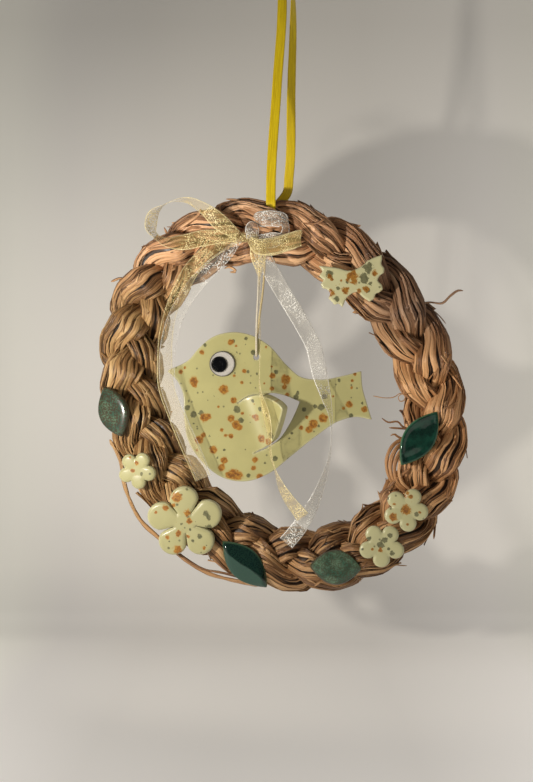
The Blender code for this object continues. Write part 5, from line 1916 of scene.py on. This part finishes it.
@dataclass
class Ribbon:
    """A woven strip through stops, each a place and the direction of its width.

    The length of a stop's direction is the share of the full width that the ribbon has there.
    """

    width: float
    thickness: float
    closed: bool = False
    spans: int = 8
    threads: int = 8
    flutter: float = 0.0002
    ripple_length: float = 0.05
    seed: int = 5

    def rows(self, stops: Array) -> tuple[Array, Array, Array]:
        """Centres, half-width steps and face normals along the ribbon.

        Args:
            stops: Rows of place and width direction.

        Returns:
            Three arrays, one row to a station.
        """
        path = smooth_path(stops, self.spans, self.closed)
        centre, across = path[:, :3], path[:, 3:6]
        if self.closed:
            along = unit(np.roll(centre, -1, axis=0) - np.roll(centre, 1, axis=0))
        else:
            along = unit(np.gradient(centre, axis=0))
        share = np.minimum(np.linalg.norm(across, axis=1), 1.0)[:, None]
        side = unit(across - along * (across * along).sum(axis=1, keepdims=True))
        return centre, side * share * self.width / 2.0, np.cross(unit(side), along)

    def skin(self, stops: Array) -> tuple[Skin, Array]:
        """Weave the ribbon.

        Args:
            stops: Rows of place and width direction.

        Returns:
            The ribbon's skin and its middle line.
        """
        centre, half, normal = self.rows(stops)
        rng = np.random.default_rng(self.seed)
        metres = distances(centre)
        ripple = wavering(rng, metres, self.ripple_length, self.flutter)
        x = np.linspace(-1.0, 1.0, self.threads + 1)
        across = np.concatenate([x, x[::-1]])
        face = np.concatenate([np.ones(len(x)), -np.ones(len(x))]) * self.thickness / 2.0
        edge = np.where(np.abs(across) > 0.97, 0.6, 1.0)
        wave = ripple[:, None] * np.sin(across[None, :] * 2.4 + metres[:, None] * 90.0)
        rings = rings_along(centre, half, normal, across[None, :], face * edge + wave)
        skin = Skin()
        skin.sweep(rings, {"along": metres[:, None], "across": across[None, :]}, closed=self.closed)
        return skin, centre


class Hue(Enum):
    """The two organza ribbons of the bow."""

    GOLD = "gold_organza"
    WHITE = "white_organza"


@dataclass
class Bow:
    """The organza bow: its knot, three loops and four tails."""

    knot: Point = (-0.02757, -0.0166, -0.178243)
    width: float = 0.0100
    thickness: float = 0.00022
    knot_size: Point = (0.0190, 0.0064, 0.0070)
    tie_radius: float = 0.0021

    # Each row is right, behind and above the knot's middle in millimetres, and the width's direction
    routes: tuple = (
        ("bow_loop_left", Hue.GOLD, "gathered", (
            (-3, -1, 1.2, -0.35, 0, -0.35), (-13, -2.6, 8, -0.7, 0.1, -0.7),
            (-22.9, -3, 16.5, -0.5, 0.65, -0.5), (-35.3, -3.6, 22.5, -0.1, 1, -0.2),
            (-47.8, -3.6, 20, 0.1, 0.95, 0.2), (-55.6, -3.6, 12.5, 0.65, 0.75, 0),
            (-56.4, -3.4, 3.9, 0.6, 0.75, -0.1), (-49.6, -2.4, -2.4, 0.1, 0.8, 0.5),
            (-37.8, -1.8, -3.4, 0, 0.25, 0.97), (-24.8, -1.5, -0.8, 0, 0, 1), (-13, -1.3, 0.2, 0, 0, 0.8),
            (-3, -0.2, -0.4, 0, 0, 0.35),
        )),
        ("bow_loop_upright", Hue.WHITE, "gathered", (
            (4, -1.2, -1.5, 0.4, 0.2, 0), (5.6, -2.2, 2.2, 0.8, 0.5, 0), (6, -3, 6.6, 0.75, 0.5, 0.2),
            (8.2, -3.8, 10, 0.4, 0.3, 0.8), (13.5, -4.2, 11, 0, 0.1, 1), (20.8, -4, 10.8, 0, 0.1, 1),
            (25, -3.4, 9.6, 0.2, 0.3, 0.9), (26.4, -2.4, 6.4, 0.45, 0.75, 0.3), (25.6, -1, 2, 0.5, 0.8, 0),
            (21, 0.4, -1, 0.2, 0.35, -0.8), (12, 1, -2, 0.1, 0.1, -0.8), (4, 1, -1, 0, 0, -0.3),
        )),
        ("bow_loop_right", Hue.GOLD, "gathered", (
            (4, -1.9, -1.6, 0, 0, 0.4), (10, -4.6, -6.3, 0, 0, 1), (17, -5.4, -6, 0.05, 0, 1),
            (27, -5.2, -3.6, 0.1, 0, 1), (34, -4.6, -1.4, 0.15, 0, 0.98), (35.9, -3.3, -0.8, 0.15, 0, 0.98),
            (33.6, -2.2, -1.4, 0.15, 0, 0.98), (26.5, -2, -4, 0.1, 0, 1), (17, -1.9, -6.6, 0.05, 0, 1),
            (9.5, -1.6, -6, 0, 0, 0.8), (4, -0.9, -1.8, 0, 0, 0.35),
        )),
        ("bow_tail_left_gold", Hue.GOLD, "hung", (
            (-4, 0.6, -1.4, 0.2, 0, -0.4), (-10, 0.8, -3.4, 0.3, 0, -0.6), (-17.9, 0.9, -7, 0.4, 0, -0.85),
            (-26.6, 0.7, -14, 0.6, 0, -0.75), (-33.4, 0.2, -22.4, 0.8, 0.1, -0.55),
            (-37.5, 0, -30.5, 0.9, 0.3, -0.3), (-43.4, 0.2, -42.2, 0.7, 0.65, -0.2),
            (-47.7, 0.2, -60.8, 0.8, 0.6, 0), (-48.5, 0, -76.3, 0.9, 0.4, 0),
            (-47.9, 0, -91.2, 0.97, 0.1, 0.1), (-41.5, 0, -110.4, 0.93, 0, 0.3),
            (-35.3, 0, -125.9, 0.93, 0, 0.35), (-29.1, 0, -139.5, 0.92, 0, 0.4),
            (-24.8, 0, -149.4, 0.92, 0, 0.4),
        )),
        ("bow_tail_left_white", Hue.WHITE, "hung", (
            (-2.5, 1.4, -1.6, 0.2, 0, -0.3), (-9.5, 2.2, -9.6, 0.5, 0, -0.5),
            (-18.6, 3, -17.6, 0.65, 0, -0.7), (-27.5, 3.8, -26.4, 0.75, 0.1, -0.65),
            (-34.7, 4.8, -36, 0.85, 0.3, -0.4), (-43.4, 5.2, -52.7, 0.95, 0.25, -0.2),
            (-47.2, 4.8, -71.3, 0.98, 0.15, 0), (-46.6, 3.6, -91.2, 1, 0, 0.1),
            (-41.4, 2.2, -107.3, 0.93, 0, 0.3), (-36, 1.4, -120.9, 0.93, 0, 0.35),
            (-29.8, 1.4, -135.2, 0.92, 0, 0.4), (-24, 1.4, -149.2, 0.92, 0, 0.4),
        )),
        ("bow_tail_middle_gold", Hue.GOLD, "hung", (
            (6, 0.4, -1.4, 0.45, 0, 0), (9, 0.6, -7, 0.95, 0, 0), (9.6, 0.6, -12, 0.95, -0.1, 0),
            (10.2, -0.4, -16.5, 0.7, -0.6, 0), (10.6, -2.2, -24, 0.2, -0.97, 0),
            (10.6, -3.4, -39.1, 0, -1, 0), (10.6, -3.4, -70.1, 0, -1, 0), (11, -3.4, -97, 0.15, -1, 0),
            (14.2, -3.4, -109.2, 0.42, -0.9, 0.05), (16.4, -3.4, -123, 0.28, -0.95, 0.05),
            (16.6, -3.4, -131, 0.14, -0.98, 0), (19.9, -3.4, -144.1, 0.14, -0.98, 0),
            (25.2, -3.8, -156.9, 0.5, -0.8, 0.2), (36.9, -4.4, -173, 0.7, -0.5, 0.5),
        )),
        ("bow_tail_right_white", Hue.WHITE, "hung", (
            (6.5, 1.8, -1.6, 0.4, 0, 0.1), (12, 2.4, -11, 0.85, 0, 0.45), (20.5, 2.6, -26.7, 0.87, 0, 0.5),
            (28, 2.8, -39.1, 0.87, 0, 0.5), (36, 2.8, -52.7, 0.87, 0.2, 0.5),
            (43.5, 2.8, -67, 0.87, 0.2, 0.45), (47.9, 2.8, -85.6, 0.9, 0.3, 0.25),
            (51.9, 2.8, -100, 0.6, 0.75, 0.15), (54.3, 2.7, -110, 0.3, 0.95, 0),
            (54.9, 2.6, -121, 0.12, 0.99, 0), (53.2, 2, -138.1, 0.25, 0.95, 0),
            (50, 1.2, -149.5, 0.45, 0.85, -0.1), (46, 0.6, -160, 0.6, 0.7, -0.3),
            (40.4, 0.8, -171.1, 0.75, 0.4, -0.5), (33.5, 1, -181.7, 0.85, 0.1, -0.5),
            (26.7, 1, -189.7, 0.82, 0, -0.57),
        )),
    )

    def knot_skin(self) -> Skin:
        """Gather the knot: a long bead with folds along it.

        Returns:
            The knot's skin.
        """
        run = np.linspace(-1.0, 1.0, 40)[:, None]
        turn = angles(72)[None, :]
        swell = np.sqrt(np.clip(1.0 - np.abs(run) ** 2.6, 0.0, 1.0)) * 0.93 + 0.05
        waist = 1.0 - 0.16 * np.exp(-((run / 0.22) ** 2))
        fold = 1.0 + 0.085 * np.sin(turn * 9.0 + run * 2.5) + 0.05 * np.sin(turn * 5.0 - run * 4.0)
        size = swell * waist * fold
        x = np.broadcast_to(run * self.knot_size[0] / 2.0, size.shape)
        y = size * np.cos(turn) * self.knot_size[1] / 2.0
        z = size * np.sin(turn) * self.knot_size[2] / 2.0
        skin = Skin()
        marks = {"along": run * 0.01, "across": np.sin(turn * 9.0) * 0.8}
        skin.sweep(np.stack([x, y, z], axis=-1) + np.array(self.knot), marks)
        return skin

    def build(self, finishes: dict[Hue, bpy.types.Material], thin: dict[Hue, bpy.types.Material]) -> None:
        """Make the knot, loops and tails.

        Args:
            finishes: The ribbons' materials.
            thin: The same for the two left tails, which hang as a single layer against the light.
        """
        tie = self.tie_skin()
        put_in_scene(tie, "bow_knot_gathered", finishes[Hue.GOLD], ["bow_knot"])
        for count, (node, hue, held, rows) in enumerate(self.routes):
            stops = np.array(rows, float)
            stops[:, :3] = stops[:, :3] * MM + np.array(self.knot)
            skin, centre = Ribbon(self.width, self.thickness, seed=40 + count).skin(stops)
            finish = (thin if node.startswith("bow_tail_left") else finishes)[hue]
            piece = put_in_scene(skin, f"{node}_organza", finish, [node])

    def tie_skin(self) -> Skin:
        """The knot with the short twist of ribbon that ties it down to the plait.

        Returns:
            The skin of both.
        """
        skin = self.knot_skin()
        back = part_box("bow_knot")[1][1]
        run = np.linspace(0.0, 1.0, 12)[:, None]
        turn = angles(24)[None, :]
        size = self.tie_radius * (1.0 + 0.18 * np.sin(turn * 4.0 + run * 5.0))
        x = self.knot[0] + size * np.cos(turn)
        z = self.knot[2] + size * np.sin(turn)
        y = np.broadcast_to(self.knot[1] + run * (back - self.knot[1]), x.shape)
        skin.sweep(np.stack([x, y, z], axis=-1), {"along": run * 0.01, "across": np.sin(turn * 4.0) * 0.8})
        return skin


@dataclass
class HangingRibbon:
    """The loop of yellow satin ribbon that the wreath hangs from."""

    width: float = 0.0060
    thickness: float = 0.0005

    # Rows of right, behind and above the hook in millimetres, and the width's direction
    stops: tuple = (
        (-10.28, -9.45, -161.79, 1, 0, 0), (-10.28, 8.6, -161.79, 1, 0, 0), (-9.28, 12.1, -157.79, 1, 0, 0),
        (-4.03, 11.05, -152.32, 1, 0, 0), (0.22, 10.99, -146.32, 1, 0, 0), (1.42, 9.99, -136.82, 1, 0, 0),
        (2.8, 5, -83.5, 0.9, 0.45, 0), (4, 1, -27.2, 0.50, 0.86, 0), (3.75, 0.2, -13.2, 0.15, 0.99, 0),
        (3.45, 0, -4.2, 0, 1, 0), (2.48, 0, -0.82, 0, 1, 0), (0, 0, 0.25, 0, 1, 0),
        (-2.48, 0, -0.82, 0, 1, 0), (-3.45, 0, -4.2, 0, 1, 0), (-3.1, -0.4, -15.2, 0.55, 0.83, 0),
        (-3, -1, -27.2, 0.97, 0.24, 0), (-6.5, -6.47, -83.5, 1, 0, 0), (-10.28, -12.95, -149.82, 1, 0, 0),
        (-10.28, -12.95, -157.79, 1, 0, 0),
    )

    def build(self, material: bpy.types.Material) -> None:
        """Make the loop.

        Args:
            material: The satin.
        """
        stops = np.array(self.stops, float)
        stops[:, :3] *= MM
        skin, centre = Ribbon(self.width, self.thickness, closed=True, flutter=0.0001).skin(stops)
        piece = put_in_scene(skin, "hanging_ribbon_satin", material, ["hanging_ribbon"])


@dataclass
class BirdCord:
    """The doubled thread that carries the bird through its hole."""

    diameter: float = 0.0012
    plies: int = 3
    lay_length: float = 0.0042
    fluff: float = 1.25
    sides: int = 18
    spacing: float = 0.0006

    # Rows of right, behind and above the hook in millimetres
    route: tuple = (
        (-17.38, -8.4, -182.8), (-18.15, -8.4, -210.53), (-19.3, -8.8, -238.12), (-19.3, -8.7, -248.12),
        (-19.3, -7.72, -251.12), (-19.3, -5, -251.42), (-19.3, -2.28, -251.12), (-19.3, -1.3, -248.12),
        (-18.7, -1.2, -238.12), (-15.22, -1.6, -209.39), (-13.3, -1.6, -180.91),
    )

    def build(self, material: bpy.types.Material) -> None:
        """Make the thread.

        Args:
            material: The thread's finish.
        """
        path = resample(smooth_path(np.array(self.route) * MM, 12), self.spacing, closed=False)
        metres = np.linspace(0.0, path_length(path), len(path))
        ahead = unit(np.gradient(path, axis=0))
        side = unit(np.array([1.0, 0.0, 0.0]) - ahead * ahead[:, :1])
        normal = np.cross(side, ahead)
        turn = angles(self.sides)
        twist = turn[None, :] * self.plies + metres[:, None] * 2.0 * math.pi / self.lay_length * self.plies
        size = self.diameter / 2.0 * self.fluff * (0.86 + 0.14 * np.cos(twist))
        rings = rings_along(path, side, normal, size * np.cos(turn), size * np.sin(turn))
        skin = Skin()
        along = metres[:, None]
        skin.sweep(rings, {"along": along, "across": np.cos(twist), "leg": along / metres[-1]})
        piece = put_in_scene(skin, "bird_cord_twisted", material, ["bird_cord"])


# Surroundings


@dataclass(frozen=True)
class Lamp:
    """A spot lamp: its beam is a cone in degrees, and the soft share of it fades to its edge."""

    name: str
    place: Point
    aim: Point
    power: float
    colour: Colour
    radius: float
    cone: float
    soft: float
    glossy: bool = True

    def build(self) -> None:
        """Add the lamp, with or without its reflection in gloss."""
        light = bpy.data.lights.new(self.name, "SPOT")
        light.energy = self.power
        light.color = self.colour
        light.shadow_soft_size = self.radius
        light.spot_size = math.radians(self.cone)
        light.spot_blend = self.soft
        lamp = bpy.data.objects.new(self.name, light)
        lamp.location = self.place
        way = Vector(self.aim) - Vector(self.place)
        lamp.rotation_euler = way.to_track_quat("-Z", "Y").to_euler()
        lamp.visible_glossy = self.glossy
        bpy.context.scene.collection.objects.link(lamp)


@dataclass
class Studio:
    """The pale wall and floor, the lights and the camera."""

    camera_place: Point = (-0.01298, -0.780, -0.2735)
    picture_height: float = 0.495
    sensor: float = 0.036
    wall_depth: float = 0.139
    floor_height: float = -0.452
    corner: float = 0.050
    reach: float = 1.6
    key: Lamp = Lamp(
        "key", place=(-0.262, -0.263, -0.285), aim=(0.0, 0.0, -0.262), power=4.75, colour=(1.0, 0.95, 0.88),
        radius=0.012, cone=86.0, soft=0.8,
    )
    fill: Lamp = Lamp(
        "fill", place=(0.85, -1.00, -0.15), aim=(0.0, 0.1, -0.36), power=3.3, colour=(1.0, 0.975, 0.93),
        radius=0.35, cone=62.0, soft=1.0, glossy=False,
    )
    room_colour: Colour = (1.0, 0.97, 0.93)
    room_strength: float = 0.095

    def backdrop(self, material: bpy.types.Material) -> None:
        """Make the wall that curves into the floor, facing the wreath.

        Args:
            material: The board's finish.
        """
        y, z = self.wall_depth - self.corner, self.floor_height + self.corner
        bends = [
            (y + self.corner * math.cos(a), z - self.corner * math.sin(a))
            for a in np.linspace(0.0, math.pi / 2.0, 12)
        ]
        profile = [(self.wall_depth, self.reach), *bends, (-self.reach, self.floor_height)]
        corners = [(side * self.reach, *place) for place in profile for side in (-1.0, 1.0)]
        faces = [(2 * i, 2 * i + 2, 2 * i + 3, 2 * i + 1) for i in range(len(profile) - 1)]
        mesh = bpy.data.meshes.new("backdrop")
        mesh.from_pydata(corners, [], faces)
        mesh.shade_smooth()
        mesh.materials.append(material)
        board = bpy.data.objects.new("backdrop", mesh)
        bpy.context.scene.collection.objects.link(board)

    def light(self) -> None:
        """Set the near key lamp, the soft fill and the room's own light."""
        self.key.build()
        self.fill.build()
        world = bpy.data.worlds.new("room")
        world.use_nodes = True
        room = {"Color": self.room_colour, "Strength": self.room_strength}
        Bench(world.node_tree).fill(world.node_tree.nodes["Background"].inputs, room)
        bpy.context.scene.world = world

    def camera(self) -> None:
        """Set the camera at the photograph's place."""
        eye = bpy.data.cameras.new("camera")
        eye.sensor_width = self.sensor / MM
        eye.lens = eye.sensor_width * -self.camera_place[1] / self.picture_height
        eye.clip_start = 0.01
        stand = bpy.data.objects.new("camera", eye)
        stand.location = self.camera_place
        stand.rotation_euler = (math.radians(90.0), 0.0, 0.0)
        bpy.context.scene.collection.objects.link(stand)
        bpy.context.scene.camera = stand


# The whole wreath


def flowers() -> tuple[Flower, ...]:
    """The four flowers, with the spots of each in millimetres from its middle.

    Returns:
        The flowers, large one first.
    """
    return (
        Flower(
            "flower_large", Seat(lean_out=10.0, toward=217.8), petal_radius=0.0089, petal_reach=0.0144,
            thickness=0.0066, first_angle=93.0, rounding=0.0017, slit=0.50, swell=0.0006, spacing=0.0006,
            warm_spots=(
                (-4.7, 16.2, 3), (-7.1, 11.1, 1.4), (1.8, 6.5, 2), (2.9, 1.4, 1.7), (-12, 9.5, 1.7),
                (-17.8, 6.7, 0.9), (-3.8, -6.5, 1.9), (-10.8, -8.9, 1.3), (-4.6, -16.6, 2.5), (2, -8.3, 1.1),
                (12, -15.4, 1.1),
            ),
            green_spots=(
                (1.8, 21.3, 0.9), (-1.8, 18, 0.9), (-4.5, 11.7, 0.9), (2, 4.7, 1.3), (13.4, 6.3, 2),
                (15, 4, 1.6), (14.9, -2, 1.9), (18.8, -2.6, 0.7), (-2, -0.6, 0.9), (3.3, -4, 0.9),
                (9.3, -8.1, 1.6), (4.9, -10.8, 1.2), (-10.3, -15.8, 0.9), (-9.6, -11.5, 0.6),
            ),
        ),
        Flower(
            "flower_small_left", Seat(lean_out=16.0, toward=242.9), petal_radius=0.0047, petal_reach=0.0074,
            thickness=0.0050, first_angle=60.0, rounding=0.0019, slit=0.03, swell=0.0004,
            warm_spots=(
                (0.5, 4.9, 1.4), (-2.1, -0.2, 1.4), (-3.5, 8.3, 0.8),
            ),
            green_spots=(
                (3.6, -1.7, 1.2), (9.1, -1.6, 0.8),
            ),
        ),
        Flower(
            "flower_small_right_upper", Seat(toward=133.2), petal_radius=0.0053, petal_reach=0.0086,
            thickness=0.0042, first_angle=62.0, rounding=0.0016, slit=0.02, swell=0.0004,
            warm_spots=(
                (-0.4, 0, 2.8), (-7.9, -4.5, 2.4), (0.8, 10.1, 1.1), (2.6, 8, 1.2), (-0.4, 8.3, 0.9),
                (-7.4, 3.4, 0.9), (0.8, -9, 0.75), (8.3, -1.5, 0.9),
            ),
            green_spots=(
                (-2.6, 0.4, 1.1), (6.4, -3, 1.5), (-11, 6.8, 1),
            ),
        ),
        Flower(
            "flower_small_right_lower", Seat(toward=147.4), petal_radius=0.0053, petal_reach=0.0086,
            thickness=0.0042, first_angle=53.0, rounding=0.0016, slit=0.02, swell=0.0004,
            warm_spots=(
                (-1.1, -2.6, 1.4), (-6, -2.1, 0.9),
            ),
            green_spots=(
                (1.5, 3.8, 2.1), (-1.1, 0.4, 2.3), (-8, 4.5, 1.5), (4, -1.9, 1.1), (6.2, -4.5, 1.5),
                (4.9, 6.4, 1.6), (-12, -1.9, 0.9),
            ),
        ),
    )


def leaves() -> tuple[tuple[Leaf, DarkGlazeFinish], ...]:
    """The four leaves, each with its glaze.

    Returns:
        Pairs of a leaf and its finish.
    """
    glossy = {"length": 0.040, "width": 0.020, "bluntness": 0.85, "slot": "dark_green_glaze"}
    dull = {"length": 0.033, "width": 0.0215, "bluntness": 0.78, "slot": "speckled_green_glaze"}
    return (
        (
            Leaf("leaf_glossy_right", Seat(turn=-124.0, toward=107.8), LeafForm.DISHED, **glossy),
            DarkGlazeFinish(
                "dark green glaze", deep=(0.0015, 0.016, 0.011), light=(0.006, 0.044, 0.028),
                rim=(0.055, 0.170, 0.085), speckle=0.04, roughness=0.07, coat=0.25,
            ),
        ),
        (
            Leaf(
                "leaf_glossy_bottom", Seat(turn=-46.8, lean_out=8.0, toward=192.9), LeafForm.KEELED, **glossy,
            ),
            # Lighter on the lower side of its keel, as painted light.
            DarkGlazeFinish(
                "keeled green glaze with painted light", deep=(0.002, 0.015, 0.012), light=(0.026, 0.066, 0.050),
                rim=(0.045, 0.105, 0.055), speckle=0.1, roughness=0.09, coat=0.25, facet=0.4,
            ),
        ),
        (
            Leaf(
                "leaf_speckled_left", Seat(turn=-68.6, lean_out=25.0, toward=264.4), LeafForm.CROWNED, **dull,
            ),
            DarkGlazeFinish(
                "speckled green glaze", deep=(0.020, 0.058, 0.038), light=(0.078, 0.130, 0.080),
                rim=(0.042, 0.026, 0.013), speckle=0.85, roughness=0.22, coat=0.1,
            ),
        ),
        (
            Leaf(
                "leaf_speckled_right", Seat(turn=-4.5, lean_side=-15.0, toward=163.4), LeafForm.CROWNED,
                **dull,
            ),
            # A lighter copy of the speckled glaze, as painted light on this leaf.
            DarkGlazeFinish(
                "speckled glaze painted lighter", deep=(0.040, 0.105, 0.066), light=(0.125, 0.205, 0.128),
                rim=(0.055, 0.042, 0.022), speckle=0.6, roughness=0.22, coat=0.1,
            ),
        ),
    )


def main() -> None:
    """Build the wreath's looks round its frame."""
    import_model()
    scene = bpy.context.scene
    scene.view_settings.view_transform = "Standard"
    studio = Studio()
    studio.camera()
    studio.light()
    Effects.build_all()
    studio.backdrop(BackdropFinish().material())

    HangingRibbon().build(SatinFinish().material())
    BirdCord().build(ThreadFinish().material())
    grass = GrassFinish().material()
    ring = PlaitedRing()
    ring.build(grass)
    LooseStems(ring).build(grass)
    gold = {"thread": (0.66, 0.49, 0.175), "glint": (1.0, 0.87, 0.48)}
    white = {"thread": (0.80, 0.76, 0.66), "glint": (1.0, 0.98, 0.92)}
    single = {"glitter": 0.8, "glitter_run": 0.08}
    Bow().build(
        {
            Hue.GOLD: OrganzaFinish("gold organza", **gold, sheer=0.09, body=0.12).material(),
            Hue.WHITE: OrganzaFinish("white organza", **white, sheer=0.09, body=0.09, glitter=1.0).material(),
        },
        {
            Hue.GOLD: OrganzaFinish(
                "thin gold organza", **gold, **single, sheer=0.05, body=0.07, edge=0.22
            ).material(),
            Hue.WHITE: OrganzaFinish(
                "thin white organza", **white, **single, sheer=0.035, body=0.045, edge=0.18
            ).material(),
        },
    )
    Bird().build(GlazeFinish("cream glaze", (0.436, 0.402, 0.174)).material())
    Eye().build(
        PlasticFinish("white plastic", (0.57, 0.54, 0.49), roughness=0.25).material(),
        PlasticFinish("black plastic", (0.001, 0.0012, 0.002), roughness=0.35, shine=0.1).material(),
        PlasticFinish("clear plastic", (1.0, 1.0, 1.0), roughness=0.02, clear=True).material(),
    )
    # One pale glaze in three brightnesses as painted light and shade: darker on the left-hand flowers,
    # lighter on the right-hand ones, lightest on the butterfly.
    left = GlazeFinish("pale green glaze", (0.395, 0.370, 0.180), ragged=2.2, specks=0.14).material()
    right = GlazeFinish("pale glaze painted lighter", (0.480, 0.455, 0.245), ragged=2.2).material()
    pale_painted_lightest = GlazeFinish("pale glaze painted lightest", (0.570, 0.535, 0.300), ragged=2.6, specks=0.30).material()
    for flower, glaze in zip(flowers(), (left, left, right, right)):
        flower.build(glaze)
    for leaf, glaze in leaves():
        leaf.build(glaze.material())
    Butterfly().build(pale_painted_lightest)


if __name__ == "__main__":
    logging.basicConfig(level=logging.INFO, format="%(message)s")
    main()
